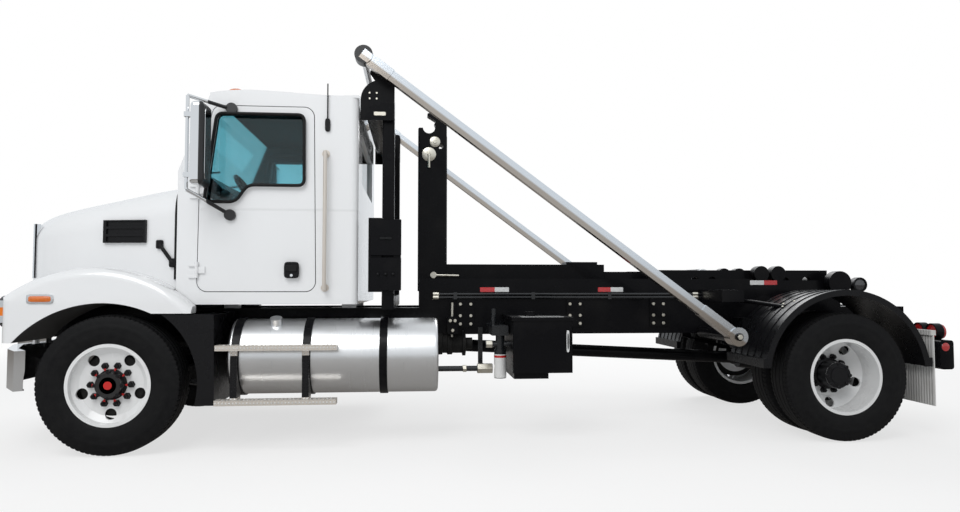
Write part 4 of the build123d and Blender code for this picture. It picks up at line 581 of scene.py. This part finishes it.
# Splash panels, rear fenders, louvres and dashboard: black moulded plastic with a fine grain, screwed to
# their brackets and panels.
moulded_black = Finish("moulded_black", "black_plastic", Base_Color=BLACK, Specular_IOR_Level=0.22)
moulded_black.paint(Roughness=0.22 + 0.12 * moulded_black.noise(8, 3.0))
moulded_black.bump(moulded_black.noise(420), 0.0004)
dress(moulded_black, "splash_panels", "rear_fender_left", "rear_fender_right", "hood_vents", "dashboard")

# Radiator screen: a net of pressed wire in a black frame, clipped inside the hood's nose behind the grille.
# It keeps insects and stones off the radiator.
MESH_PITCH = 0.012
wire_net = Finish("wire_net", "black_plastic", Metallic=0.4)
wires = wire_net.along(1).wave(MESH_PITCH).most(wire_net.along(2).wave(MESH_PITCH))
crown = wires.ramp(0.6, 0.9)
wire_net.blend(crown, BLACK, (0.05, 0.05, 0.052), Roughness=0.6 - 0.2 * crown)
wire_net.bump(wires, 0.002)
screen = ring(at((-0.842, 0, 1.49)), (0, 0.42, 0.172), 14, 64)
surface("radiator_screen", plate(screen, REAR, 0.008), wire_net, "hood")


# Hood fittings: amber side lamps in bright bezels, rubber hold-down straps hooked over moulded catches, and
# rubber seals pressed on the hood's rear edge and round the cowl.
def swelled(outline, way, thick, rows=6):
    """A domed lens: the ring drawn in by cos t as it rises by thick * sin t, t from 0 to a quarter turn."""
    middle = outline.mean(axis=-2, keepdims=True)
    t = np.linspace(0, math.pi / 2, rows)[:, None, None]
    dome = middle[..., None, :, :] + (outline - middle)[..., None, :, :] * np.cos(t) + thick * np.sin(t) * way
    return np.concatenate([(middle + 0 * outline)[..., None, :, :], dome], axis=-3)


HOOP_BEND = 0.24


def hoop(x, half, foot, top, radius):
    """A tube up one side of the truck, across it at the top and down the other side."""
    corners = [(x, -half, foot), (x, -half, top), (x, half, top), (x, half, foot)]
    return tube(bent(corners, HOOP_BEND, steps=14), radius, lean=REAR)


amber_lens = Finish("amber_lens", Coat_Weight=1.0)
flutes = amber_lens.along(0).wave(0.009)
amber_lens.blend(
    0.5 + 0.5 * flutes, (0.6, 0.1, 0.003), (0.8, 0.2, 0.01),
    Roughness=0.16 + 0.08 * amber_lens.noise(60),
)
amber_lens.bump(flutes, 0.0006)
strap_rubber = Finish("strap_rubber", "black_plastic", Specular_IOR_Level=0.2)
strap_rubber.blend(
    strap_rubber.noise(30), DEEP_BLACK, WORN_BLACK,
    Roughness=0.5 + 0.2 * strap_rubber.noise(80),
)
BESIDE = -3
marker = touch("hood", (-0.475, BESIDE, 1.135), RIGHT)
bezel = plate(ring(marker, (0.094, 0, 0.036), 6, 40), LEFT, 0.007, 0.003)
surface("marker_bezels", both_sides(bezel), bumper_chrome, "hood")
lens = swelled(ring(marker - (0, 0.006, 0), (0.078, 0, 0.022), 5, 40), LEFT, 0.012)
surface("marker_lenses", both_sides(lens), amber_lens, "hood")
STRAP_ENDS, STRAP_OUT, STRAP_RADIUS = ((0.272, 1.545), (0.375, 1.405)), 0.016, 0.014
strap_ends = np.stack([touch("hood", (x, BESIDE, z), RIGHT) for x, z in STRAP_ENDS])
strap = tube(np.linspace(*(strap_ends - (0, STRAP_OUT, 0)), 6), STRAP_RADIUS, around=16)
surface("hood_straps", both_sides(strap), strap_rubber, "hood")
catches = plate(ring(strap_ends, (0.026, 0, 0.034), 5, 28), LEFT, 0.026, 0.006)
surface("strap_catches", both_sides(catches), moulded_black, "hood")
hood_edge = hoop(CAB_FRONT - 0.026, 0.988, 1.28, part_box("hood")[1].z + 0.003, 0.011)
surface("hood_edge", hood_edge, strap_rubber, "hood")
cowl_seal = hoop(CAB_FRONT - 0.004, 0.992, 1.1, 2.008, 0.014)
surface("cowl_seal", cowl_seal, strap_rubber)

# Windows: laminated screen and toughened side glass, lightly tinted. The door's pane is held in a channel of
# black rubber round its opening.
glass = Finish("window_glass", Transmission_Weight=1.0, IOR=1.02, Alpha=0.8, Roughness=0.0, Coat_Weight=1.0)
tint = glass.along(2).ramp(1.9, 2.65)
glass.blend(tint, (0.26, 0.6, 0.68), (0.2, 0.5, 0.57))
dress(glass, "cab_glass", "door_glass_left", "door_glass_right")
DOORS = ((1, "door_left"), (-1, "door_right"))
WINDOW = ((0.200, 0.775), (0.285, 1.45), (0.935, 1.45), (0.940, 0.905), (0.520, 0.905), (0.430, 0.775))
WINDOW_BEND, CHANNEL_RADIUS = 0.05, 0.0125
opening = bent([(CAB_FRONT + x, DOOR_FACE, CAB_FLOOR + z) for x, z in WINDOW], WINDOW_BEND, closed=True)
for side, body in DOORS:
    channel = tube(opening * (1, side, 1), CHANNEL_RADIUS, closed=True)
    surface(body + "_channel", channel, strap_rubber, body, ENDLESS_GRID)

# Door latches: a black moulded cup set in the door's skin, with a rubber-faced pull paddle and a plated lock
# below it.
LATCH_X, LATCH_HEIGHT, CUP_PROUD = 1.274, 1.35, 0.011
for side, body in DOORS:
    way = np.array((0, -side, 0))
    latch = at((LATCH_X, (DOOR_FACE + INSET) * side, LATCH_HEIGHT))
    cup = plate(ring(latch, (0.056, 0, 0.062), 5, 40), way, 0.012, 0.005)
    surface(body + "_latch", cup, moulded_black, body)
    cup_face = latch + way * CUP_PROUD
    paddle = plate(ring(cup_face + (0, 0, 0.012), (0.042, 0, 0.026), 6, 32), way, 0.013, 0.005)
    surface(body + "_paddle", paddle, strap_rubber, body)
    lock = plate(disc(cup_face - (0, 0, 0.04), 0.011), way, 0.004)
    surface(body + "_lock", lock, bumper_chrome, body)

# Mirrors: chromed shells on chromed tube, bolted to the doors. A black frame behind each shell holds the
# silvered glass.
SHELL_END, MIRROR_HEAD = FRONT_AXLE + 0.672, (0.7045, -1.30, 2.25)
mirror_shell = Finish("mirror_shell")
rear_frame = mirror_shell.along(0) > SHELL_END
mirror_shell.blend(
    rear_frame, CHROME, (0.012, 0.012, 0.013),
    Metallic=1 - rear_frame,
    Roughness=0.06 + 0.04 * mirror_shell.noise(5) + 0.3 * rear_frame,
)
dress(mirror_shell, "mirror_left", "mirror_right")
silvered = Finish("silvered_glass", "rod_chrome", Metallic=1.0, Base_Color=(0.8, 0.82, 0.83))
silvered.paint(Roughness=0.015 + 0.02 * silvered.noise(3))
for side, body in DOORS:
    pane = ring(at(MIRROR_HEAD) * (1, side, 1), (0, 0.072, 0.258), 9, 48)
    surface(body + "_mirror_glass", plate(pane, REAR, 0.003), silvered, body)

# Roof and screen fittings: five amber marker lamps screwed to the roof, a rod aerial on a moulded foot at the
# cab's rear corner, and two wipers whose blades lie on the screen.
OVERHEAD, LAMP_LINE, LAMP_SPACING = 4, 0.79, (-0.86, -0.3, 0, 0.3, 0.86)
lamp_spots = np.stack([touch("cab_roof", (LAMP_LINE, y, OVERHEAD), DOWN) for y in LAMP_SPACING])
lamps = ring(lamp_spots - (0, 0, 0.02), (0.075, 0.034, 0), 3, 28)
surface("roof_lamps", swelled(lamps, UP, 0.05), amber_lens)
AERIAL_X = 1.53
aerial = at([(AERIAL_X, -1.066, z) for z in (2.45, 2.56, 2.6, 2.79)])
surface("aerial", tube(aerial, 0.005, around=10), hub_black)
aerial_foot = ring(at((AERIAL_X, -1.0495, 2.47)), (0.02, 0, 0.05), 4, 28)
surface("aerial_foot", plate(aerial_foot, LEFT, 0.02, 0.004), moulded_black)
AHEAD, WIPER_FOOT, WIPER_RISE, WIPERS = -4, 2.14, 0.1, ((-0.62, -0.1), (0.22, 0.74))
for count, (start, end) in enumerate(WIPERS):
    stations = [(AHEAD, start + (end - start) * t, WIPER_FOOT + WIPER_RISE * t) for t in (0, 0.5, 1)]
    blade = np.array([touch("cab_glass", place, REAR) for place in stations]) - (0.012, 0, -0.004)
    surface("wiper_%d" % count, tube(blade, 0.008, lean=UP), moulded_black)

# Seats: sprung foam cushions covered in dark woven cloth, each with two sewn lines. They stand on bellowed
# rubber pedestals that are bolted to the cab's floor.
seat_cloth = Finish("seat_cloth", "seat_cloth", Sheen_Weight=0.3)
threads = [seat_cloth.along(axis).wave(0.004) for axis in (0, 1, 2)]
weave = threads[0] * threads[1] + threads[2] * 0.5
seat_cloth.blend(
    0.5 + 0.4 * weave, (0.022, 0.023, 0.026), (0.06, 0.061, 0.066),
    Roughness=0.85 - 0.1 * seat_cloth.noise(60),
)
seat_cloth.bump(weave, 0.0008)
seat_low, seat_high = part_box("seats")
SEAT_HALF = 0.25
SEAT_MIDDLE = (seat_high.y - seat_low.y) / 2 - SEAT_HALF
PADS = (
    # name, centre, half sizes, axis that faces the sitter, and its sign
    ("cushion", (seat_low.x + SEAT_HALF, 0, seat_low.z + 0.4), (0.235, 0.235, 0.06), 2, 1),
    ("back", (seat_low.x + 0.465, 0, seat_low.z + 0.81), (0.055, 0.235, 0.325), 0, -1),
)
VOXEL, PRESSURE, CLOTH_FRAMES, SWELL_CAP = 0.011, 4.0, 20, 0.012
SEAM_AT, SEAM_HALF, SEAM_DEPTH, SEAM_FROM = 0.5, 0.035, 0.012, 0.3


def pad_points(centre, half, power=5.0, rows=28, columns=56):
    """A squared ball: half * sign(f) |f|^(2 / power) f the ball's x, y and z by latitude and longitude."""
    v = np.linspace(-math.pi / 2, math.pi / 2, rows)[:, None]
    u = np.linspace(0, 2 * math.pi, columns, endpoint=False)[None]
    ball = np.stack([np.cos(v) * np.cos(u), np.cos(v) * np.sin(u), np.sin(v) + 0 * u], axis=-1)
    return np.array(centre) + np.array(half) * np.sign(ball) * np.abs(ball) ** (2 / power)


def inflated(piece):
    """The pad remeshed and blown up as cloth under pressure, no point moving more than the cap."""
    remesh = piece.modifiers.new("even", "REMESH")
    remesh.mode, remesh.voxel_size = "VOXEL", VOXEL
    view = bpy.context.evaluated_depsgraph_get()
    piece.data = bpy.data.meshes.new_from_object(piece.evaluated_get(view))
    piece.modifiers.clear()
    start = np.empty(3 * len(piece.data.vertices))
    piece.data.vertices.foreach_get("co", start)
    cloth = piece.modifiers.new("cloth", "CLOTH")
    cloth.settings.use_pressure = True
    cloth.settings.uniform_pressure_force = PRESSURE
    cloth.settings.effector_weights.gravity = 0.0
    cloth.point_cache.frame_start, cloth.point_cache.frame_end = 1, CLOTH_FRAMES
    for step in range(1, CLOTH_FRAMES + 1):
        bpy.context.scene.frame_set(step)
    blown = bpy.data.meshes.new_from_object(piece.evaluated_get(bpy.context.evaluated_depsgraph_get()))
    piece.modifiers.clear()
    bpy.context.scene.frame_set(1)
    end = np.empty_like(start)
    blown.vertices.foreach_get("co", end)
    bpy.data.meshes.remove(blown)
    start, moved = start.reshape(-1, 3), (end - start).reshape(-1, 3)
    far = np.linalg.norm(moved, axis=1, keepdims=True)
    return start + moved * np.minimum(1, SWELL_CAP / np.maximum(far, 1e-9))


for part, centre, half, facing, sign in PADS:
    driver = surface("driver_" + part, pad_points(centre, half), seat_cloth, crease=180)
    points = inflated(driver)
    offset = (points - centre) / half
    front = sign * offset[:, facing] > SEAM_FROM
    sewn = np.exp(-((np.abs(offset[:, 1]) - SEAM_AT) / SEAM_HALF) ** 2) * front
    points[:, facing] -= sign * SEAM_DEPTH * sewn
    passenger = bpy.data.objects.new("passenger_" + part, driver.data.copy())
    bpy.context.scene.collection.objects.link(passenger)
    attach(passenger, "chassis")
    for pad, place in ((driver, -SEAT_MIDDLE), (passenger, SEAT_MIDDLE)):
        pad.data.vertices.foreach_set("co", (points + (0, place, 0)).ravel())
        pad.data.polygons.foreach_set("use_smooth", np.ones(len(pad.data.polygons), bool))
        pad.data.materials.clear()
        pad.data.materials.append(seat_cloth.material)
        fine = pad.modifiers.new("fine", "SUBSURF")
        fine.levels = fine.render_levels = 1
        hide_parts("seats")
FOLDS, PEDESTAL_HALF, PEDESTAL_TALL, PINCH = 13, 0.19, 0.33, 0.93
folds = np.zeros((FOLDS, 3)) + (seat_low.x + SEAT_HALF, 0, seat_low.z)
folds[:, 2] += PEDESTAL_TALL * np.linspace(0, 1, FOLDS)
rings = ring(folds, (PEDESTAL_HALF, PEDESTAL_HALF, 0), 8, 48)
middles = rings.mean(axis=1, keepdims=True)
bellows = middles + (rings - middles) * np.where(np.arange(FOLDS) % 2, PINCH, 1.0)[:, None, None]
bellows = np.concatenate([middles[:1] + 0 * rings[:1], bellows, middles[-1:] + 0 * rings[-1:]])
bellows = np.stack([bellows + (0, place, 0) for place in (-SEAT_MIDDLE, SEAT_MIDDLE)])
surface("seat_pedestals", bellows, strap_rubber, crease=25)

# Fuel tank, steps and tarp arms: brushed aluminium, held by straps, brackets and pivot bolts. The steps'
# posts and the arms' tips are black. The arms' two tones are painted on, after the photograph's reflections.
tank_aluminium = Finish("tank_aluminium", Metallic=1.0)
brushing = tank_aluminium.noise(3.0, 6.0, stretch=(60, 1, 1))
smear = tank_aluminium.noise(2.2, 4.0)
tank_aluminium.blend(
    smear, (0.7, 0.71, 0.72), (0.82, 0.82, 0.82),
    Roughness=0.18 + 0.14 * brushing + 0.1 * smear,
)
tank_aluminium.bump(brushing, 0.0002)
dress(tank_aluminium, "fuel_tank", "tarp_bar")
POST_FOOT, POST_TOP, RAIL_FOOT, LOZENGE = 0.405, 0.715, 1.0, 0.05
tread_plate = Finish("tread_plate", "bright_aluminium", Specular_IOR_Level=0.3)
x, z = tread_plate.along(0), tread_plate.along(2)
post = (z > POST_FOOT) * (z < POST_TOP)
raised = ((x + z).wave(LOZENGE) * (x - z).wave(LOZENGE)).ramp(0.3, 0.6) * (z < RAIL_FOOT)
tread = tread_plate.mix(raised, (0.66, 0.61, 0.55), (0.95, 0.94, 0.92))
tread_plate.blend(
    post, tread, DEEP_BLACK,
    Metallic=0.45 * (1 - post),
    Roughness=0.3 - 0.12 * raised,
)
tread_plate.bump(raised * (1 - post), 0.003)
dress(tread_plate, "cab_steps")
arm_low, arm_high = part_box("tarp_arm_left")
TIP_RADIUS, END_TRIM, ARM_HALF, TIP_REACH = 0.07, 0.145, 0.04, 0.015
SLOPE = math.atan2(arm_high.z - arm_low.z - END_TRIM, arm_low.x - arm_high.x + END_TRIM)
arm_aluminium = Finish("arm_aluminium")
back = arm_aluminium.along(0) - (arm_low.x + TIP_RADIUS)
rise = arm_aluminium.along(2) - (arm_high.z - TIP_RADIUS)
over = back * math.sin(SLOPE) - rise * math.cos(SLOPE)
beyond = back * -math.cos(SLOPE) - rise * math.sin(SLOPE)
end_tube = (abs(over) < ARM_HALF) * (beyond > -TIP_REACH)
tip = ((back * back + rise * rise) < (TIP_RADIUS + 0.004) ** 2) * (1 - end_tube)
# Painted reflection: the arm's upper side is painted light and bluish, its lower side darker and tan.
bright = arm_aluminium.mix(over.ramp(-0.012, 0.006), (0.42, 0.375, 0.33), (0.72, 0.76, 0.8))
arm_aluminium.blend(
    tip, bright, BLACK,
    Metallic=1 - tip,
    Roughness=0.16 + 0.05 * arm_aluminium.noise(6, 4.0) + 0.12 * tip,
)
dress(arm_aluminium, "tarp_arm_left", "tarp_arm_right")

# Step treads: small raised lozenges pressed up from the step plates, each turned a quarter turn from the next
# so that a boot grips both ways.
TREAD_PITCH, TREAD_LONG, TREAD_WIDE, TREAD_HEIGHT = 0.03, 0.011, 0.004, 0.003
COS_45 = 0.707
tread_x, tread_y = np.meshgrid(np.arange(0.78, 1.61, TREAD_PITCH), (-1.195, -1.165))
lean = np.where((np.arange(tread_x.shape[1]) + np.arange(2)[:, None]) % 2, 1.0, -1.0).reshape(-1, 1)
oval_x, oval_y, oval_z = ring((0, 0, 0), (TREAD_LONG, TREAD_WIDE, 0), steps=8).T
ovals = [oval_x - lean * oval_y, lean * oval_x + oval_y, oval_z + 0 * lean]
ovals = COS_45 * np.stack(ovals, axis=-1)
treads = []
for start in (1.0, 0.7):
    height = touch("cab_steps", (1.2, -1.19, start), DOWN)[2]
    spots = at(np.stack([tread_x, tread_y, height + 0 * tread_x], axis=-1).reshape(-1, 3))
    treads.append(swelled(spots[:, None] + ovals, UP, TREAD_HEIGHT, rows=3))
surface("step_treads", np.concatenate(treads), tread_plate)

# Oil tank fittings: a sight glass in a white frame, screwed to the tank's side, and a bare pale plate on the
# tank's lid.
GAUGE_X, GAUGE_HEIGHT = 3.392, 0.80
gauge = plate(ring(at((GAUGE_X, -1.0995, GAUGE_HEIGHT)), (0.011, 0, 0.085), 5, 32), LEFT, 0.012, 0.003)
surface("sight_frame", gauge, tape_white)
sight = plate(ring(at((GAUGE_X, -1.111, GAUGE_HEIGHT)), (0.005, 0, 0.062), 3, 24), LEFT, 0.003)
surface("sight_glass", sight, hub_black)
lid = touch("hydraulic_tank", (3.2, -0.99, 3), DOWN)
surface("lid_plate", plate(ring(lid, (0.17, 0.1, 0), 16, 48), UP, 0.003), tape_white)

# Lamps: clear and red moulded lenses screwed to fenders and bumper, round red reflectors on the bumper's
# ends, and work lamps in steel cans on bent stays at the frame's tail.
BOWLS, BOWL_HEIGHT, BOWL_RADIUS = (0.79, 0.965), 1.045, 0.074
AMBER_FROM, AMBER_HALF, CLEAR_HALF = 1.075, 0.03, 0.08
head_lens = Finish("head_lens", Coat_Weight=1.0, Coat_Roughness=0.02)
across, above = abs(head_lens.along(1)), head_lens.along(2) - BOWL_HEIGHT
squares = [(across - middle) * (across - middle) + above * above for middle in BOWLS]
bowl = sum(square.ramp(1.05 * BOWL_RADIUS**2, 0.95 * BOWL_RADIUS**2) for square in squares)
bulb = sum(square.ramp(0.022**2, 0.018**2) for square in squares)
corner = across > AMBER_FROM
amber = corner * (abs(above) < AMBER_HALF)
lamp = head_lens.mix(bowl, (0.02, 0.02, 0.022), (0.82, 0.83, 0.84))
lamp = head_lens.mix(bulb, lamp, (0.9, 0.86, 0.75))
lamp = head_lens.mix(corner * (abs(above) < CLEAR_HALF), lamp, (0.5, 0.52, 0.54))
head_lens.blend(
    amber, lamp, (0.8, 0.2, 0.012),
    Metallic=bowl - bulb,
    Roughness=0.12 + 0.1 * head_lens.noise(30) + 0.2 * bulb,
)
head_lens.bump(across.wave(0.016) * (bowl + amber), 0.0012)
dress(head_lens, "headlamps")
red_lens = Finish("red_lens", "red_lens", Base_Color=(0.45, 0.01, 0.01), Coat_Weight=1.0)
red_lens.paint(Roughness=0.15 + 0.2 * red_lens.noise(60))
red_lens.bump(red_lens.along(1).wave(0.008) * red_lens.along(2).wave(0.008), 0.0008)
dress(red_lens, "tail_lamps")
smoked_lens = Finish("smoked_lens", "lamp_lens", Base_Color=(0.03, 0.03, 0.034), Coat_Weight=1.0)
smoked_lens.paint(Roughness=0.15 + 0.1 * smoked_lens.noise(40))
smoked_lens.bump(smoked_lens.along(0).wave(0.01), 0.0008)
REFLECTOR_RADIUS = 0.036
reflector = touch("rear_bumper", (6.655, BESIDE, 0.718), RIGHT)
reflectors = swelled(disc(reflector, REFLECTOR_RADIUS, 32), LEFT, 0.008)
surface("end_reflectors", both_sides(reflectors), red_lens)
CAN_RADIUS = (0, 0.04, 0.06, 0.066, 0.066, 0.058, 0.055, 0)
CAN_OUT = (0, 0, 0.02, 0.03, 0.098, 0.1, 0.09, 0.09)
CAN_LENS_RADIUS, CAN_LENS_OUT = (0, 0.03, 0.046, 0.046, 0), (0.098, 0.096, 0.092, 0.086, 0.086)
can_place = at((6.19, -0.43, 1.243))
cans = both_sides(turned(CAN_RADIUS, CAN_OUT, can_place, -1, 40))
surface("work_lamp_cans", cans, hub_black, "chassis", TURNED_GRID)
lenses = both_sides(turned(CAN_LENS_RADIUS, CAN_LENS_OUT, can_place, -1, 32))
surface("work_lamp_lenses", lenses, smoked_lens, "chassis", TURNED_GRID)
stay = bent([*at([(6.02, -0.40, 1.235), (6.19, -0.40, 1.24)]), can_place - (0, 0.02, 0)], 0.02)
surface("work_lamp_stays", both_sides(tube(stay, 0.012, lean=UP)), hub_black)

# Rear fender stays: a bent steel tube from the frame to the middle of each fender, with zinc bolts through
# its foot.
stay = bent(at([(5.06, -0.45, 1.10), (5.10, -0.60, 1.10), (5.215, -1.0, 1.06)]), 0.08)
surface("fender_stays", both_sides(tube(stay, 0.018, lean=UP)), chassis_black)
FOOT_BOLTS, FOOT_BOLT_RADIUS = ((5.2, -1.0), (5.24, -0.94), (5.28, -1.04)), 0.011
feet = np.array([touch("rear_fender_left", (x, y, 3), DOWN) for x, y in FOOT_BOLTS])
feet = swelled(ring(feet, (FOOT_BOLT_RADIUS, FOOT_BOLT_RADIUS, 0), steps=12), UP, 0.008, 4)
surface("fender_bolts", both_sides(feet), zinc)

# Mud flaps: sheets of pale rubber with moulded upright ribs, hung behind the rear wheels and grimed by road
# water.
flap_rubber = Finish("flap_rubber", Specular_IOR_Level=0.3)
grime = flap_rubber.noise(7, 5.0)
flap_rubber.blend(grime, (0.72, 0.72, 0.71), (0.5, 0.49, 0.47), Roughness=0.6 + 0.2 * grime)
flap_rubber.bump(flap_rubber.along(1).wave(0.03), 0.002)
dress(flap_rubber, "mud_flaps")

# Mast fittings: turned pin ends in bright steel on both cheeks of the hook's mast, and a lock lever that
# hangs from the lower pin.
PINS, PIN_FACE = ((2.381, 2.552, 0.048), (2.327, 2.436, 0.064)), -0.1095
PIN_OUT = (0, 0, 0.008, 0.011, 0.012, 0.02, 0.02)
for count, (x, z, radius) in enumerate(PINS):
    pin_radius = (0, radius, radius, radius - 0.006, 0.018, 0.015, 0)
    pins = both_sides(turned(pin_radius, PIN_OUT, at((x, PIN_FACE, z)), -1, 40))
    surface("mast_pin_%d" % count, pins, zinc, "jib", TURNED_GRID)
lever = bent(at([(2.327, -0.118, 2.436), (2.327, -0.136, 2.436), (2.327, -0.136, 2.31)]), 0.012)
surface("mast_lever", tube(lever, 0.012, lean=REAR), zinc, "jib")

# Gantry fittings: bolts and a slotted latch on the tower's end plates, the neck that each arm's tip rests
# beside, the doors, side, latch and knobs of the valve box, and the nuts on the arms' pivots.
END_FACE, END_BOLT_RADIUS = -0.9995, 0.008
bolts = at([(x, END_FACE, z) for x in (1.845, 1.9) for z in (2.7, 2.745)])
bolts = plate(disc(bolts, END_BOLT_RADIUS, 8), LEFT, 0.006)
surface("end_plate_bolts", both_sides(bolts), zinc)
slot_bar = plate(ring(at((1.925, END_FACE, 2.58)), (0.048, 0, 0.016), 6, 32), LEFT, 0.01, 0.003)
surface("end_plate_latch", both_sides(slot_bar), zinc)
NECK = ((1.885, 2.80), (1.885, 2.845), (1.845, 2.90), (1.855, 2.945),
        (1.90, 2.955), (1.99, 2.86), (1.99, 2.80))
neck = plate(at([(x, -0.986, z) for x, z in NECK]), LEFT, 0.0139)
surface("gantry_necks", both_sides(neck), chassis_black)
BOX_X, BOX_FACE, LEAF_FACE, LEAF_HALF = 1.978, -1.0095, -1.023, 0.12
for count, (foot, top) in enumerate(((1.195, 1.452), (1.466, 1.749))):
    leaf = ring(at((BOX_X, BOX_FACE, (foot + top) / 2)), (LEAF_HALF, 0, (top - foot) / 2), 40, 64)
    leaf = plate(leaf, LEFT, 0.014, 0.003)
    surface("valve_box_door_%d" % count, leaf, chassis_black)
cheek = plate(ring(at((2.065, -1.01, 1.472)), (0.028, 0, 0.275), 30, 48), RIGHT, 0.14, 0.004)
surface("valve_box_side", cheek, chassis_black)
KNOBS, KNOB_RADIUS = (1.92, BOX_X, 2.035), 0.014
knobs = disc(at([(x, LEAF_FACE, 1.32) for x in KNOBS]), KNOB_RADIUS, 20)
surface("valve_knobs", swelled(knobs, LEFT, 0.02), hub_black)
handle = plate(ring(at((BOX_X, LEAF_FACE, 1.6)), (0.05, 0, 0.01), 5, 28), LEFT, 0.012, 0.004)
surface("valve_box_latch", handle, hub_black)
PIVOT_NUT_RADIUS = 0.022
pivot_nuts = disc(at((4.753, -1.1695, 0.828)), PIVOT_NUT_RADIUS, 6)
pivot_nuts = both_sides(plate(pivot_nuts, LEFT, 0.014, 0.003))
surface("arm_pivot_nuts", pivot_nuts, zinc, crease=25)

# Stage: a pale floor that runs out into a white surround, with two broad soft lamps. The floor and surround
# look lighter to the camera than in the truck's reflections.
FLOOR_REACH, FADE_FROM, FADE_TO, NEAR_GLOW = 60.0, 6.0, 13.0, 0.68
floor_mesh = bpy.data.meshes.new("floor")
floor_corners = FLOOR_REACH * np.array([(-1, -1, 0), (1, -1, 0), (1, 1, 0), (-1, 1, 0)], float)
floor_mesh.from_pydata(floor_corners, [], [(0, 1, 2, 3)])
floor = bpy.data.objects.new("floor", floor_mesh)
bpy.context.scene.collection.objects.link(floor)
floor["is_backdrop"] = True
WHITE = (1, 1, 1)
floor_pale = Finish("floor_pale", Base_Color=(0.9, 0.9, 0.9), Roughness=0.9, Specular_IOR_Level=0.1)
camera_ray, glossy_ray = (floor_pale.node("ShaderNodeLightPath", output=output) for output in (0, 3))
reach = floor_pale.node("ShaderNodeVectorMath", {"operation": "LENGTH"}, {0: floor_pale.place()}, output=1)
glow_colour = floor_pale.mix(glossy_ray, WHITE, (0.2, 0.185, 0.17))
glow = floor_pale.node("ShaderNodeEmission", {}, {"Color": glow_colour, "Strength": 1.0})
lit = Field(floor_pale, floor_pale.shader.outputs[0])
share = (camera_ray + glossy_ray) * (NEAR_GLOW + (1 - NEAR_GLOW) * reach.ramp(FADE_FROM, FADE_TO))
both = floor_pale.node("ShaderNodeMixShader", {}, {0: share, 1: lit, 2: glow})
floor_pale.feed(floor_pale.tree.nodes["Material Output"], {"Surface": both})
floor_mesh.materials.append(floor_pale.material)


class Surround(Finish):
    """The world's nodes, made by the same methods as a material's."""

    def __init__(self, world):
        self.tree = world.node_tree


world = bpy.data.worlds.new("surround")
bpy.context.scene.world = world
world.use_nodes = True
sky = Surround(world)
camera_ray, glossy_ray, through_ray = (sky.node("ShaderNodeLightPath", output=output) for output in (0, 3, 6))
sky_colour = sky.mix(glossy_ray, (0.485, 0.493, 0.5), (0.82, 0.85, 0.88))
sky_colour = sky.mix(camera_ray.most(through_ray), sky_colour, WHITE)
sky.feed(world.node_tree.nodes["Background"], {"Color": sky_colour, "Strength": 1.0})

LAMPS = (
    # name, place, aim, size, watts
    ("key_lamp", (-4.0, -8.0, 8.5), (0.0, 0.0, 0.8), 6.0, 540.0),
    ("back_lamp", (3.0, 7.0, 7.0), (0.0, 0.0, 1.0), 6.0, 330.0),
)
for name, place, aim, size, watts in LAMPS:
    lamp = bpy.data.lights.new(name, "AREA")
    lamp.size, lamp.energy = size, watts
    lamp_object = bpy.data.objects.new(name, lamp)
    bpy.context.scene.collection.objects.link(lamp_object)
    lamp_object.location = place
    lamp_object.rotation_euler = (Vector(aim) - Vector(place)).to_track_quat("-Z", "Y").to_euler()

# Camera: beside the cab's step, as far off as the photograph was taken from, turned a little to the rear and
# tilted a little up.
CAMERA_PLACE, CAMERA_LENS, CAMERA_TILT, CAMERA_TURN = (-0.6397, -6.5016, 1.2168), 26.31, 0.0451, -0.0909
camera_data = bpy.data.cameras.new("camera")
camera_data.lens = CAMERA_LENS
camera = bpy.data.objects.new("camera", camera_data)
bpy.context.scene.collection.objects.link(camera)
camera.location = CAMERA_PLACE
camera.rotation_euler = (math.pi / 2 + CAMERA_TILT, 0, CAMERA_TURN)
bpy.context.scene.camera = camera

bpy.context.scene.view_settings.view_transform = "Standard"
low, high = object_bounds()
